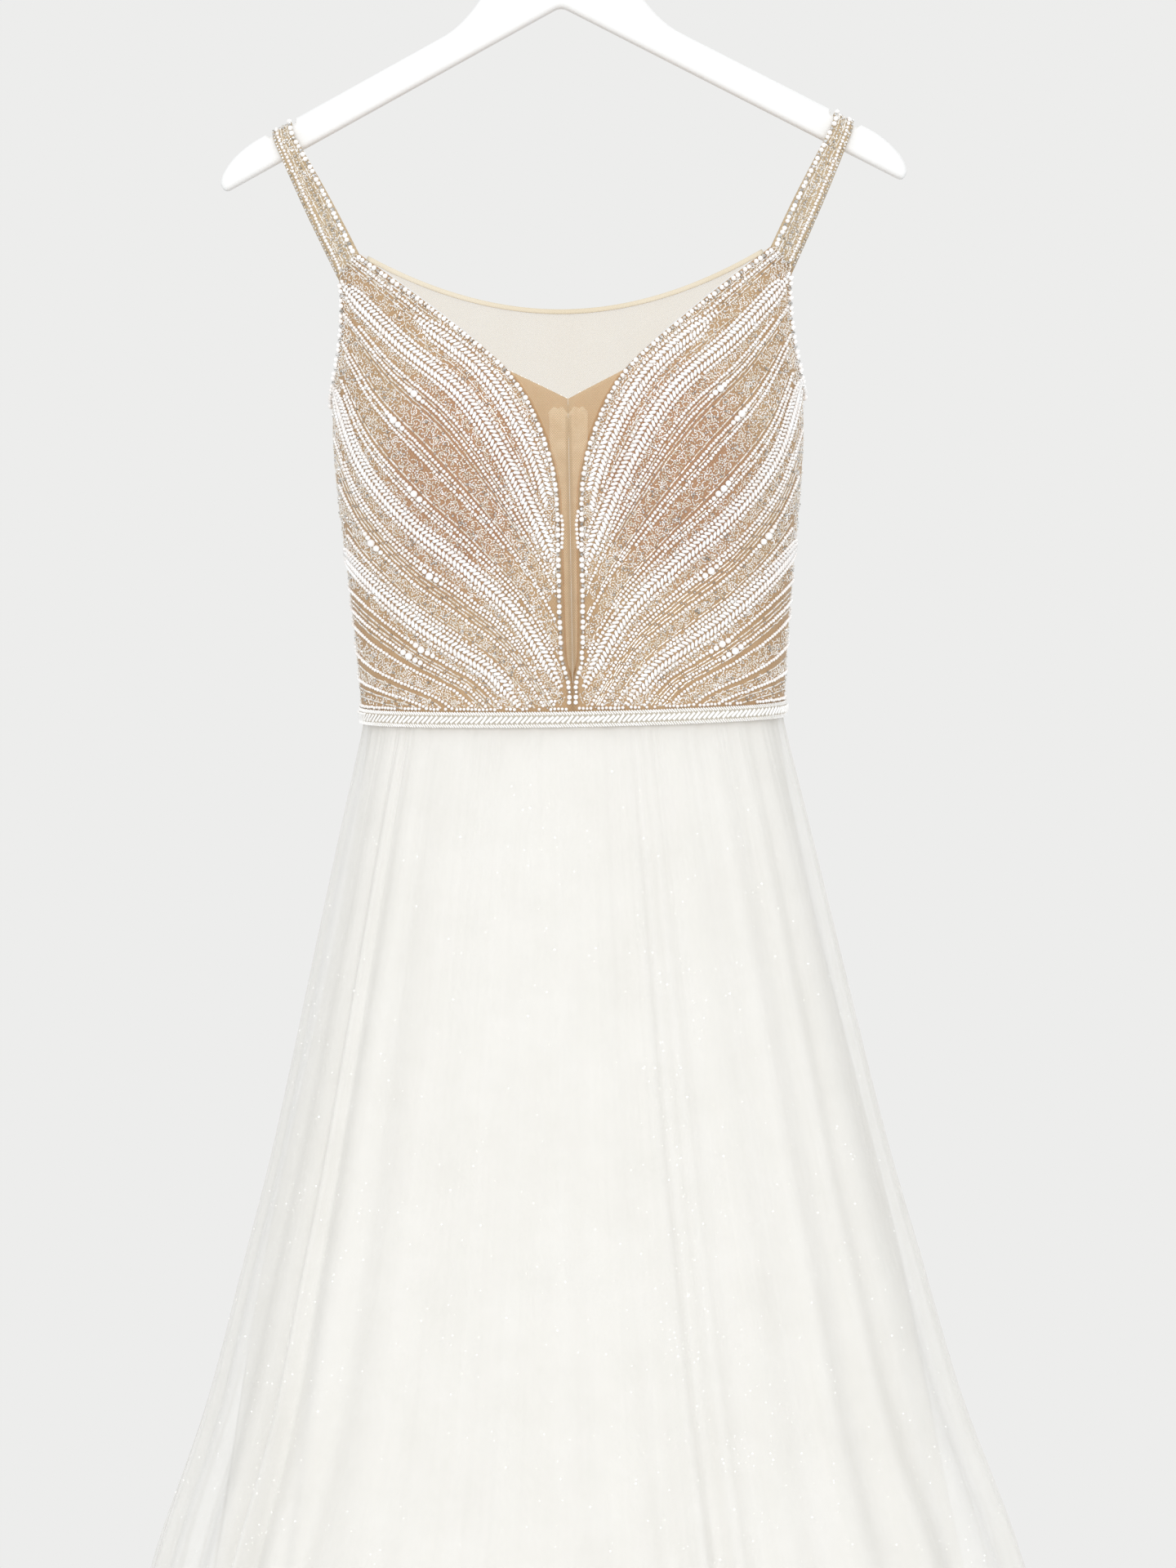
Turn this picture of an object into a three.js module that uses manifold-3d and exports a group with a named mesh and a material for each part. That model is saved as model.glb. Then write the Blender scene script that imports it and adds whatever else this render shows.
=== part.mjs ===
// A beaded wedding gown on a wooden hanger, as solids in millimetres with +Z up.
// The rail that carries the hook touches it at the origin, and the front faces -Y.
import * as THREE from 'three';
import { mergeVertices } from 'three/addons/utils/BufferGeometryUtils.js';
import initManifold from 'manifold-3d';

const DEG = Math.PI / 180;

// Cloth walls and the gaps between pieces
const SEAM_GAP = 0.3;
const PANEL_WALL = 1.6;
const MESH_WALL = 1.0;
const SKIRT_WALL = 1.0;
const UNDERSKIRT_WALL = 1.2;
const CUP_WALL = 2.2;
const CUP_GAP = 1.5;
const MESH_GAP = 1.2;
const TAPE_WALL = 0.9;
const BELT_WALL = 1.5;
const BINDING_WALL = 1.2;
const STRAP_WALL = 1.5;

// Hanger
const HANGER_APEX_Z = -107;
const HANGER_CROWN_Z = -62;
const HANGER_THICKNESS = 12;
const HANGER_EDGE_ROUND = 2.5;
const ARM_SLOPE = 28 * DEG;
const ARM_LENGTH = 255;
const ARM_WIDTH = 20;
const NOTCH_START = 191.5;
const NOTCH_END = 210.5;
const NOTCH_DEPTH = 2.8;
const NOTCH_SLANT = 2;
const APEX_ROUND = 10;
const TIP_ROUND = 8;
const FIN_START = 217;
const FLARE_START = 80;
const FLARE_BEND = { lowX: 58, lowZ: -115.2, highX: 52, highZ: -96 };
const CROWN_SHOULDER = { x: 34, z: -76 };
const CROWN_FLAT = { cornerX: 24, x: 8 };
const CURVE_STEPS = 7;

// Hook
const HOOK_WIRE_RADIUS = 2;
const HOOK_INSIDE_RADIUS = 21;
const HOOK_START_ANGLE = -50 * DEG;
const HOOK_END_ANGLE = 195 * DEG;
const HOOK_BORE_DEPTH = 24;
const HOOK_SIDES = 10;
const HOOK_STEPS = 44;
const BORE_SIDES = 16;
const HOOK_STEM = [
  { x: 7.5, z: -44.6 },
  { x: 1.6, z: -50 },
  { x: 0, z: -57 },
  { x: 0, z: -66 },
];

// Waist, underarm, neck and hem heights
const WAIST_SIDE_Z = -573;
const WAIST_FRONT_DIP = 6.6;
const UNDERARM_Z = -365;
const BACK_NOTCH_Z = -361;
const NECK_CENTRE_Z = -315.5;
const HEM_Z = -1680;
const UNDERSKIRT_HEM_Z = -1660;

// The seam between a panel and its strap, by its two corners
const STRAP_SEAM = { innerGap: 133.5, innerZ: -274, outerGap: 147, outerZ: -288 };

// Bodice sections: half width, and depth in front of and behind the side seams
const SQUARENESS = 0.06;
const BODICE_SECTIONS = [
  { z: -590, half: 136.5, front: 59, back: 53.5 },
  { z: -525, half: 141, front: 65, back: 56 },
  { z: -475, half: 146, front: 72, back: 60 },
  { z: -430, half: 151, front: 77, back: 64 },
  { z: -395, half: 154, front: 79, back: 66 },
  { z: -365, half: 154, front: 78, back: 66 },
  { z: -320, half: 157, front: 74, back: 63 },
  { z: -265, half: 163, front: 68, back: 58 },
];

// Cups: the bust dart's fullness, and the outline of the sewn-in cup
const CUP = { x: 75, z: -412, rise: 17, spreadX: 46, spreadZ: 50, halfWidth: 46, halfHeight: 56 };

// Plunge edge of the front panels: half of the gap between them
const PLUNGE_EDGE = [
  { z: -585, gap: SEAM_GAP / 2 },
  { z: -557, gap: 0.2 },
  { z: -540, gap: 4.4 },
  { z: -438, gap: 6 },
  { z: -414, gap: 9.5 },
  { z: -392, gap: 16.6 },
  { z: -369, gap: 27.4 },
  { z: -349, gap: 43 },
  { z: -311, gap: 87 },
  { z: STRAP_SEAM.innerZ, gap: STRAP_SEAM.innerGap },
];

// Neckline of the back panels: half of the gap between them above the notch
const BACK_NECK_EDGE = [
  { z: BACK_NOTCH_Z, gap: SEAM_GAP / 2 },
  { z: -349, gap: 24 },
  { z: -335, gap: 52 },
  { z: -307, gap: 95 },
  { z: STRAP_SEAM.innerZ, gap: STRAP_SEAM.innerGap },
];

// How finely the bodice is divided
const PANEL_ROWS = 14;
const UNDERARM_ROW = 10;
const FRONT_COLUMNS = 12;
const BACK_COLUMNS = 10;
const MESH_FIRST_ROW = 2;
const MESH_COLUMNS = 14;
const CUP_STEPS = 8;

// Strap: from the front seam over the hanger, mirrored to the back
const STRAP_HALF_WIDTH = 7;
const STRAP_PATH = [
  { x: 153.5, y: -28.5, z: -256 },
  { x: 167, y: -16.5, z: -228 },
  { x: 179, y: -9.8, z: -203 },
  { x: 184.5, y: -7.8, z: -191 },
  { x: 185.6, y: -5.8, z: -186 },
  { x: 185.6, y: 0, z: -184.4 },
];
const STRAP_STEPS = 24;

// Belt over the waist seam
const BELT_HEIGHT = 10.5;
const BELT_OFFSET = 3.8;
const BELT_STEPS = 72;

// Zip tapes inside the centre back seam
const TAPE = { near: 2, far: 13, topZ: -367, bottomZ: -566 };
const TAPE_STEPS = 10;

// Neck binding along the top of the mesh
const BINDING_SHARE = 0.014;
const BINDING_REACH = 0.985;
const BINDING_STEPS = 28;

// Skirt sections by drop below the waist: half width, depths and depth of a fold
const OVERLAY_FOLDS = 36;
const OVERLAY_SECTIONS = [
  { drop: 0, half: 138, front: 60.6, back: 55, fold: 0.5 },
  { drop: 8, half: 138.3, front: 61, back: 55.5, fold: 0.6 },
  { drop: 30, half: 143, front: 67, back: 62, fold: 1.5 },
  { drop: 71, half: 152.5, front: 76, back: 71, fold: 2.5 },
  { drop: 152, half: 170.5, front: 92, back: 87, fold: 3.5 },
  { drop: 287, half: 201, front: 113, back: 109, fold: 4.6 },
  { drop: 363, half: 221, front: 124, back: 121, fold: 5.2 },
  { drop: 457, half: 246, front: 139, back: 137, fold: 7 },
  { drop: 560, half: 282, front: 157, back: 156, fold: 9 },
  { drop: 1107, half: 431, front: 236, back: 244, fold: 18 },
];
const OVERLAY_DROPS = [0, 12, 60, 150, 320, 540, 800, 1107];
const OVERLAY_STEPS_PER_FOLD = 4;

const UNDERSKIRT_FOLDS = 24;
const UNDERSKIRT_SECTIONS = [
  { drop: 0, half: 134, front: 56, back: 50.5, fold: 0.3 },
  { drop: 20, half: 136, front: 60, back: 55, fold: 0.5 },
  { drop: 71, half: 143.5, front: 69, back: 64, fold: 1 },
  { drop: 152, half: 159, front: 82, back: 77, fold: 1.5 },
  { drop: 359, half: 206, front: 110, back: 107, fold: 3 },
  { drop: 565, half: 243, front: 134, back: 133, fold: 4.5 },
  { drop: 1107, half: 356, front: 198, back: 205, fold: 9 },
];
const UNDERSKIRT_DROPS = [0, 30, 150, 360, 600, 1107];
const UNDERSKIRT_STEPS_PER_FOLD = 4;

// Uneven spacing and depth of the folds round the skirt
const SPACING_WAVES = [
  { turns: 5, size: 0.009, shift: 1.1 },
  { turns: 11, size: 0.004, shift: 0.4 },
];
const DEPTH_WAVE = { turns: 7, size: 0.25, shift: 0.8 };
// Part of a fold left off each half at the side seams
const SIDE_SEAM_TRIM = 0.012;

// Materials
const MATERIALS = {
  paint: new THREE.MeshStandardMaterial({ color: '#f4f4f2', roughness: 0.3, metalness: 0 }),
  wire: new THREE.MeshStandardMaterial({ color: '#c9cbcc', roughness: 0.2, metalness: 1 }),
  nude: new THREE.MeshStandardMaterial({ color: '#d2b396', roughness: 0.8, metalness: 0 }),
  cup: new THREE.MeshStandardMaterial({ color: '#d9ae90', roughness: 0.85, metalness: 0 }),
  mesh: new THREE.MeshStandardMaterial({ color: '#d8bf9a', roughness: 0.8, metalness: 0 }),
  tape: new THREE.MeshStandardMaterial({ color: '#d9c19c', roughness: 0.8, metalness: 0 }),
  beads: new THREE.MeshStandardMaterial({ color: '#ece8e2', roughness: 0.3, metalness: 0 }),
  ivory: new THREE.MeshStandardMaterial({ color: '#f4f2ec', roughness: 0.85, metalness: 0 }),
};

// The value of one column of a table at a place in its key column, as a smooth curve
function tableAt(table, key, column, place) {
  const last = table.length - 1;
  let i = 0;
  while (i < last - 1 && place > table[i + 1][key]) i += 1;
  const slope = (k) => {
    const low = Math.max(k - 1, 0);
    const high = Math.min(k + 1, last);
    return (table[high][column] - table[low][column]) / (table[high][key] - table[low][key]);
  };
  const span = table[i + 1][key] - table[i][key];
  const t = THREE.MathUtils.clamp((place - table[i][key]) / span, 0, 1);
  const rise = table[i + 1][column] - table[i][column];
  const start = slope(i) * span;
  const end = slope(i + 1) * span;
  return table[i][column] + t * (start + t * (3 * rise - 2 * start - end + t * (start + end - 2 * rise)));
}

// Point of an oval ring: angle 0 is the centre front, 90 degrees the +X side
function ringPoint(half, front, back, angle, z) {
  const fullness = 1 + SQUARENESS * Math.sin(2 * angle) ** 2;
  const depth = Math.cos(angle) > 0 ? front : back;
  return new THREE.Vector3(
    half * Math.sin(angle) * fullness,
    -depth * Math.cos(angle) * fullness,
    z,
  );
}

// How far the cups lift the front at a place
function cupRise(x, z) {
  const across = (Math.abs(x) - CUP.x) / CUP.spreadX;
  const up = (z - CUP.z) / CUP.spreadZ;
  return CUP.rise * Math.exp(-across * across - up * up);
}

// Point of the bodice's inner face
function bodicePoint(angle, z) {
  const half = tableAt(BODICE_SECTIONS, 'z', 'half', z);
  const front = tableAt(BODICE_SECTIONS, 'z', 'front', z);
  const back = tableAt(BODICE_SECTIONS, 'z', 'back', z);
  const point = ringPoint(half, front, back, angle, z);
  const facing = Math.max(Math.cos(angle), 0);
  point.y -= cupRise(point.x, z) * Math.min(1, 3 * facing);
  return point;
}

// Angle on the front of the bodice at which it is a given distance from the middle
function angleAtWidth(width, z) {
  const half = tableAt(BODICE_SECTIONS, 'z', 'half', z);
  let low = 0;
  let high = Math.PI / 2;
  for (let step = 0; step < 40; step += 1) {
    const middle = (low + high) / 2;
    const reach = half * Math.sin(middle) * (1 + SQUARENESS * Math.sin(2 * middle) ** 2);
    if (reach < width) low = middle;
    else high = middle;
  }
  return low;
}

// Height of the waist seam, which dips at the centre front
function waistZ(angle) {
  return WAIST_SIDE_Z - WAIST_FRONT_DIP * Math.max(Math.cos(angle), 0);
}

// Grid of points with normals that point away from an upright line
function surfaceGrid(surface, rows, columns, lineX = 0) {
  const step = 1e-3;
  const grid = rows.map((v) => columns.map((u) => {
    const point = surface(u, v);
    const along = surface(u + step, v).sub(surface(u - step, v));
    const up = surface(u, v + step).sub(surface(u, v - step));
    return { point, normal: along.cross(up).normalize() };
  }));
  const middle = grid[Math.floor(rows.length / 2)][Math.floor(columns.length / 2)];
  const outward = new THREE.Vector3(middle.point.x - lineX, middle.point.y, 0);
  const sign = Math.sign(middle.normal.dot(outward));
  grid.flat().forEach((spot) => spot.normal.multiplyScalar(sign));
  return grid;
}

// Closed wall between two offsets from a grid of points
function clothWall(grid, inner, outer) {
  const rows = grid.length;
  const columns = grid[0].length;
  const positions = [];
  for (const offset of [inner, outer]) {
    for (const { point, normal } of grid.flat()) {
      positions.push(...point.clone().addScaledVector(normal, offset).toArray());
    }
  }
  const index = (row, column, face) => face * rows * columns + row * columns + column;
  const faces = [];
  const quad = (a, b, c, d) => faces.push(a, b, c, a, c, d);
  for (let row = 0; row < rows - 1; row += 1) {
    for (let column = 0; column < columns - 1; column += 1) {
      const corners = [[row, column], [row, column + 1], [row + 1, column + 1], [row + 1, column]];
      quad(...corners.map(([r, c]) => index(r, c, 1)));
      quad(...corners.reverse().map(([r, c]) => index(r, c, 0)));
    }
  }
  const rim = [];
  for (let column = 0; column < columns - 1; column += 1) rim.push([0, column]);
  for (let row = 0; row < rows - 1; row += 1) rim.push([row, columns - 1]);
  for (let column = columns - 1; column > 0; column -= 1) rim.push([rows - 1, column]);
  for (let row = rows - 1; row > 0; row -= 1) rim.push([row, 0]);
  rim.forEach(([row, column], place) => {
    const [nextRow, nextColumn] = rim[(place + 1) % rim.length];
    quad(
      index(row, column, 0),
      index(nextRow, nextColumn, 0),
      index(nextRow, nextColumn, 1),
      index(row, column, 1),
    );
  });
  return closedGeometry(positions, faces);
}

// Indexed geometry whose faces point outwards
function closedGeometry(positions, faces) {
  const corner = (i) => new THREE.Vector3().fromArray(positions, 3 * i);
  let volume = 0;
  for (let i = 0; i < faces.length; i += 3) {
    const [a, b, c] = [corner(faces[i]), corner(faces[i + 1]), corner(faces[i + 2])];
    volume += a.dot(b.cross(c));
  }
  const turned = [];
  for (let i = 0; i < faces.length; i += 3) {
    if (volume > 0) turned.push(faces[i], faces[i + 1], faces[i + 2]);
    else turned.push(faces[i], faces[i + 2], faces[i + 1]);
  }
  const geometry = new THREE.BufferGeometry();
  geometry.setAttribute('position', new THREE.Float32BufferAttribute(positions, 3));
  geometry.setIndex(turned);
  geometry.computeVertexNormals();
  return geometry;
}

// Evenly spaced numbers from one value to another
function spread(from, to, steps) {
  return Array.from({ length: steps + 1 }, (_, i) => from + ((to - from) * i) / steps);
}

// Angle from the side seam that leaves half a seam gap
const SEAM_ANGLE = SEAM_GAP / 2 / 60;

// Outer edge of a panel: the side seam, then the armhole up to the strap
function sideEdge(v) {
  const turn = UNDERARM_ROW / PANEL_ROWS;
  const side = Math.PI / 2 - SEAM_ANGLE;
  const waist = WAIST_SIDE_Z + SEAM_GAP / 2;
  if (v <= turn) return { angle: side, z: waist + (UNDERARM_Z - waist) * (v / turn) };
  const rise = ((v - turn) / (1 - turn)) * (Math.PI / 2);
  const strap = angleAtWidth(STRAP_SEAM.outerGap, STRAP_SEAM.outerZ);
  return {
    angle: side - (side - strap) * Math.sin(rise),
    z: UNDERARM_Z + (STRAP_SEAM.outerZ - UNDERARM_Z) * (1 - Math.cos(rise)),
  };
}

// Inner edge of the front panel: the plunge, from the waist to the strap
function plungeEdge(v) {
  const waist = waistZ(0) + SEAM_GAP / 2;
  const z = waist + (STRAP_SEAM.innerZ - waist) * v;
  return { angle: angleAtWidth(tableAt(PLUNGE_EDGE, 'z', 'gap', z), z), z };
}

// Inner edge of the back panel: the zip seam, then the neckline up to the strap
function backEdge(v) {
  const turn = UNDERARM_ROW / PANEL_ROWS;
  const waist = WAIST_SIDE_Z + SEAM_GAP / 2;
  const low = waist + (BACK_NOTCH_Z - waist) * (v / turn);
  const high = BACK_NOTCH_Z + (STRAP_SEAM.innerZ - BACK_NOTCH_Z) * ((v - turn) / (1 - turn));
  const z = v <= turn ? low : high;
  const gap = v <= turn ? SEAM_GAP / 2 : tableAt(BACK_NECK_EDGE, 'z', 'gap', z);
  return { angle: angleAtWidth(gap, z), z };
}

// Place on a panel as angle and height: v runs up it, t from its inner to its outer edge
function panelPlace(innerEdge, v, t, isBack) {
  const inner = innerEdge(v);
  const outer = sideEdge(v);
  const angle = inner.angle + (outer.angle - inner.angle) * t;
  let z = inner.z + (outer.z - inner.z) * t;
  if (!isBack) {
    const straight = waistZ(inner.angle) + (waistZ(outer.angle) - waistZ(inner.angle)) * t;
    z += (1 - v) * (waistZ(angle) - straight);
  }
  return { angle: isBack ? Math.PI - angle : angle, z };
}

// Surface of a panel on one side, +1 for +X and -1 for -X
function panelSurface(side, isBack) {
  const innerEdge = isBack ? backEdge : plungeEdge;
  return (t, v) => {
    const place = panelPlace(innerEdge, v, t, isBack);
    return bodicePoint(side * place.angle, place.z);
  };
}

function bodicePanel(side, isBack) {
  const columns = spread(0, 1, isBack ? BACK_COLUMNS : FRONT_COLUMNS);
  const grid = surfaceGrid(panelSurface(side, isBack), spread(0, 1, PANEL_ROWS), columns);
  return clothWall(grid, 0, PANEL_WALL);
}

// Cup inside a front panel: a round outline spread over a square grid
function bodiceCup(side) {
  const surface = (u, v) => {
    const x = CUP.x + CUP.halfWidth * u * Math.sqrt(1 - (v * v) / 2);
    const z = CUP.z + CUP.halfHeight * v * Math.sqrt(1 - (u * u) / 2);
    return bodicePoint(side * angleAtWidth(x, z), z);
  };
  const grid = surfaceGrid(surface, spread(-1, 1, CUP_STEPS), spread(-1, 1, CUP_STEPS));
  return clothWall(grid, -CUP_GAP - CUP_WALL, -CUP_GAP);
}

// Mesh in the plunge: it shares the rows of the front panels, sagging between them to the neck
const MESH_START = MESH_FIRST_ROW / PANEL_ROWS;

function plungeSurface(u, v) {
  const edgeZ = plungeEdge(v).z;
  const edge = tableAt(PLUNGE_EDGE, 'z', 'gap', edgeZ) - MESH_GAP;
  const rise = Math.max((v - MESH_START) / (1 - MESH_START), 0);
  const sag = (STRAP_SEAM.innerZ - NECK_CENTRE_Z) * rise ** 1.5;
  const z = edgeZ - sag * (1 - u * u);
  return bodicePoint(Math.sign(u) * angleAtWidth(Math.abs(u) * edge, z), z);
}

function plungeMesh() {
  const rows = spread(MESH_START, 1, PANEL_ROWS - MESH_FIRST_ROW);
  const grid = surfaceGrid(plungeSurface, rows, spread(-1, 1, MESH_COLUMNS));
  return clothWall(grid, 0, MESH_WALL);
}

function neckBinding() {
  const rows = [1 - BINDING_SHARE, 1];
  const grid = surfaceGrid(plungeSurface, rows, spread(-BINDING_REACH, BINDING_REACH, BINDING_STEPS));
  return clothWall(grid, MESH_WALL + SEAM_GAP, MESH_WALL + SEAM_GAP + BINDING_WALL);
}

function zipTape(side) {
  const surface = (u, v) => {
    const z = TAPE.bottomZ + (TAPE.topZ - TAPE.bottomZ) * v;
    return bodicePoint(side * (Math.PI - angleAtWidth(TAPE.near + (TAPE.far - TAPE.near) * u, z)), z);
  };
  const grid = surfaceGrid(surface, spread(0, 1, TAPE_STEPS), spread(0, 1, 2));
  return clothWall(grid, -SEAM_GAP - TAPE_WALL, -SEAM_GAP);
}

// Strap: a band swept along its path, its width turning from the seam to the arm
function strap(side) {
  const seam = (isBack) => {
    const surface = panelSurface(side, isBack);
    const grid = surfaceGrid(surface, [1 - 2e-3], [0, 0.5, 1]);
    const [inner, middle, outer] = grid[0].map((spot) => spot.point);
    middle.addScaledVector(grid[0][1].normal, PANEL_WALL / 2);
    return { middle, across: outer.clone().sub(inner) };
  };
  const front = seam(false);
  const back = seam(true);
  const frontPath = STRAP_PATH.map(({ x, y, z }) => new THREE.Vector3(side * x, y, z));
  const backPath = STRAP_PATH.map(({ x, y, z }) => new THREE.Vector3(side * x, -y, z)).reverse();
  const path = new THREE.CatmullRomCurve3(
    [front.middle, ...frontPath, ...backPath.slice(1), back.middle],
  );
  const alongArm = new THREE.Vector3(side * Math.cos(ARM_SLOPE), 0, -Math.sin(ARM_SLOPE));
  const seamShare = SEAM_GAP * 2.5 / path.getLength();
  const surface = (t, v) => {
    const share = THREE.MathUtils.clamp(v, 0, 1);
    const centre = path.getPoint(seamShare + (1 - 2 * seamShare) * share);
    const end = share < 0.5 ? front : back;
    const blend = THREE.MathUtils.smoothstep(Math.abs(share - 0.5), 0.18, 0.5);
    const half = STRAP_HALF_WIDTH + (end.across.length() / 2 - STRAP_HALF_WIDTH) * blend;
    const across = alongArm.clone().lerp(end.across.clone().normalize(), blend).normalize();
    return centre.addScaledVector(across, half * t);
  };
  const grid = surfaceGrid(surface, spread(0, 1, STRAP_STEPS), [-1, 0, 1], side * STRAP_SEAM.innerGap);
  return clothWall(grid, -STRAP_WALL / 2, STRAP_WALL / 2);
}

function waistBelt() {
  const opening = SEAM_GAP / 100;
  const surface = (angle, rise) => bodicePoint(angle, waistZ(angle) + rise);
  const rows = [-BELT_HEIGHT / 2, BELT_HEIGHT / 2];
  const columns = spread(-Math.PI + opening, Math.PI - opening, BELT_STEPS);
  const grid = surfaceGrid(surface, rows, columns);
  return clothWall(grid, BELT_OFFSET, BELT_OFFSET + BELT_WALL);
}

// Angle round the skirt of a fold number, with uneven spacing
function foldAngle(fold, folds) {
  const share = fold / folds;
  const drift = ({ turns, size, shift }) => size * Math.sin(2 * Math.PI * turns * share + shift);
  return 2 * Math.PI * (share + SPACING_WAVES.reduce((sum, wave) => sum + drift(wave), 0));
}

// Point of a gathered skirt layer at a fold number and a share of its length
function skirtPoint(sections, folds, hemZ, fold, share) {
  const angle = foldAngle(fold, folds);
  const drop = share * (WAIST_SIDE_Z - HEM_Z);
  const [half, front, back, depth] = ['half', 'front', 'back', 'fold']
    .map((column) => tableAt(sections, 'drop', column, drop));
  const top = waistZ(angle) - SEAM_GAP / 2;
  const z = top + (hemZ - top) * share;
  const { turns, size, shift } = DEPTH_WAVE;
  const unevenness = 1 - size + size * Math.sin((2 * Math.PI * turns * fold) / folds + shift);
  const wave = depth * unevenness * Math.cos(2 * Math.PI * fold);
  const point = ringPoint(half, front, back, angle, z);
  const reach = Math.cos(angle) > 0 ? front : back;
  const outward = new THREE.Vector3(Math.sin(angle) / half, -Math.cos(angle) / reach, 0).normalize();
  return point.addScaledVector(outward, wave);
}

// Half of a skirt layer, from side seam to side seam
function skirtHalf({ sections, folds, drops, hemZ, steps, wall }, isBack) {
  const quarter = folds / 4;
  const first = (isBack ? quarter : -quarter) + SIDE_SEAM_TRIM;
  const last = (isBack ? 3 * quarter : quarter) - SIDE_SEAM_TRIM;
  const rows = drops.map((drop) => drop / (WAIST_SIDE_Z - HEM_Z));
  const surface = (fold, share) => skirtPoint(sections, folds, hemZ, fold, share);
  const grid = surfaceGrid(surface, rows, spread(first, last, 2 * quarter * steps));
  return clothWall(grid, 0, wall);
}

const OVERLAY = {
  sections: OVERLAY_SECTIONS,
  folds: OVERLAY_FOLDS,
  drops: OVERLAY_DROPS,
  hemZ: HEM_Z,
  steps: OVERLAY_STEPS_PER_FOLD,
  wall: SKIRT_WALL,
};
const UNDERSKIRT = {
  sections: UNDERSKIRT_SECTIONS,
  folds: UNDERSKIRT_FOLDS,
  drops: UNDERSKIRT_DROPS,
  hemZ: UNDERSKIRT_HEM_Z,
  steps: UNDERSKIRT_STEPS_PER_FOLD,
  wall: UNDERSKIRT_WALL,
};

// Place along an arm and above its lower edge, as a point of the hanger's outline
function armPoint(side, along, above) {
  return new THREE.Vector2(
    side * (along * Math.cos(ARM_SLOPE) + above * Math.sin(ARM_SLOPE)),
    HANGER_APEX_Z - along * Math.sin(ARM_SLOPE) + above * Math.cos(ARM_SLOPE),
  );
}

// Outline of one arm from its apex round the tip to the crown
function armOutline() {
  const outline = new THREE.Path();
  const at = (along, above) => armPoint(1, along, above).toArray();
  const { lowX, lowZ, highX, highZ } = FLARE_BEND;
  const tip = at(ARM_LENGTH - 1, 0.3 * ARM_WIDTH);
  const fin = [at(ARM_LENGTH - 5, 0.7 * ARM_WIDTH), at(ARM_LENGTH - 22, ARM_WIDTH)];
  outline.moveTo(...at(APEX_ROUND, 0));
  outline.lineTo(...at(ARM_LENGTH - TIP_ROUND, 0));
  outline.quadraticCurveTo(...at(ARM_LENGTH, 0), ...tip);
  outline.bezierCurveTo(...fin[0], ...fin[1], ...at(FIN_START, ARM_WIDTH));
  outline.lineTo(...at(NOTCH_END + NOTCH_SLANT, ARM_WIDTH));
  outline.lineTo(...at(NOTCH_END, ARM_WIDTH - NOTCH_DEPTH));
  outline.lineTo(...at(NOTCH_START, ARM_WIDTH - NOTCH_DEPTH));
  outline.lineTo(...at(NOTCH_START - NOTCH_SLANT, ARM_WIDTH));
  outline.lineTo(...at(FLARE_START, ARM_WIDTH));
  outline.bezierCurveTo(lowX, lowZ, highX, highZ, CROWN_SHOULDER.x, CROWN_SHOULDER.z);
  outline.quadraticCurveTo(CROWN_FLAT.cornerX, HANGER_CROWN_Z, CROWN_FLAT.x, HANGER_CROWN_Z);
  return outline.getPoints(CURVE_STEPS);
}

// Hanger: the outline of both arms drawn out to its thickness, with a bore for the hook
async function hanger() {
  const right = armOutline();
  const left = right.map((point) => new THREE.Vector2(-point.x, point.y)).reverse();
  const shape = new THREE.Shape([...right, ...left]);
  const solid = new THREE.ExtrudeGeometry(shape, {
    depth: HANGER_THICKNESS - 2 * HANGER_EDGE_ROUND,
    bevelSize: HANGER_EDGE_ROUND,
    bevelThickness: HANGER_EDGE_ROUND,
    bevelOffset: -HANGER_EDGE_ROUND,
    bevelSegments: 2,
  });
  solid.translate(0, 0, HANGER_EDGE_ROUND - HANGER_THICKNESS / 2);
  solid.rotateX(Math.PI / 2);
  return cutBore(solid);
}

// Closed mesh of a geometry as a solid that can be cut
function cuttable(kit, geometry) {
  const bare = new THREE.BufferGeometry();
  bare.setAttribute('position', geometry.getAttribute('position'));
  if (geometry.getIndex()) bare.setIndex(geometry.getIndex());
  const merged = mergeVertices(bare, 1e-4);
  return new kit.Manifold(new kit.Mesh({
    numProp: 3,
    vertProperties: new Float32Array(merged.getAttribute('position').array),
    triVerts: new Uint32Array(merged.getIndex().array),
  }));
}

// The solid with the hook's bore cut from its crown
async function cutBore(solid) {
  const kit = await initManifold();
  kit.setup();
  const radius = HOOK_WIRE_RADIUS + SEAM_GAP;
  const bore = new THREE.CylinderGeometry(radius, radius, 2 * HOOK_BORE_DEPTH, BORE_SIDES);
  bore.rotateX(Math.PI / 2);
  bore.translate(0, 0, HANGER_CROWN_Z);
  const cut = cuttable(kit, solid).subtract(cuttable(kit, bore)).getMesh();
  return closedGeometry(Array.from(cut.vertProperties), Array.from(cut.triVerts));
}

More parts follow.
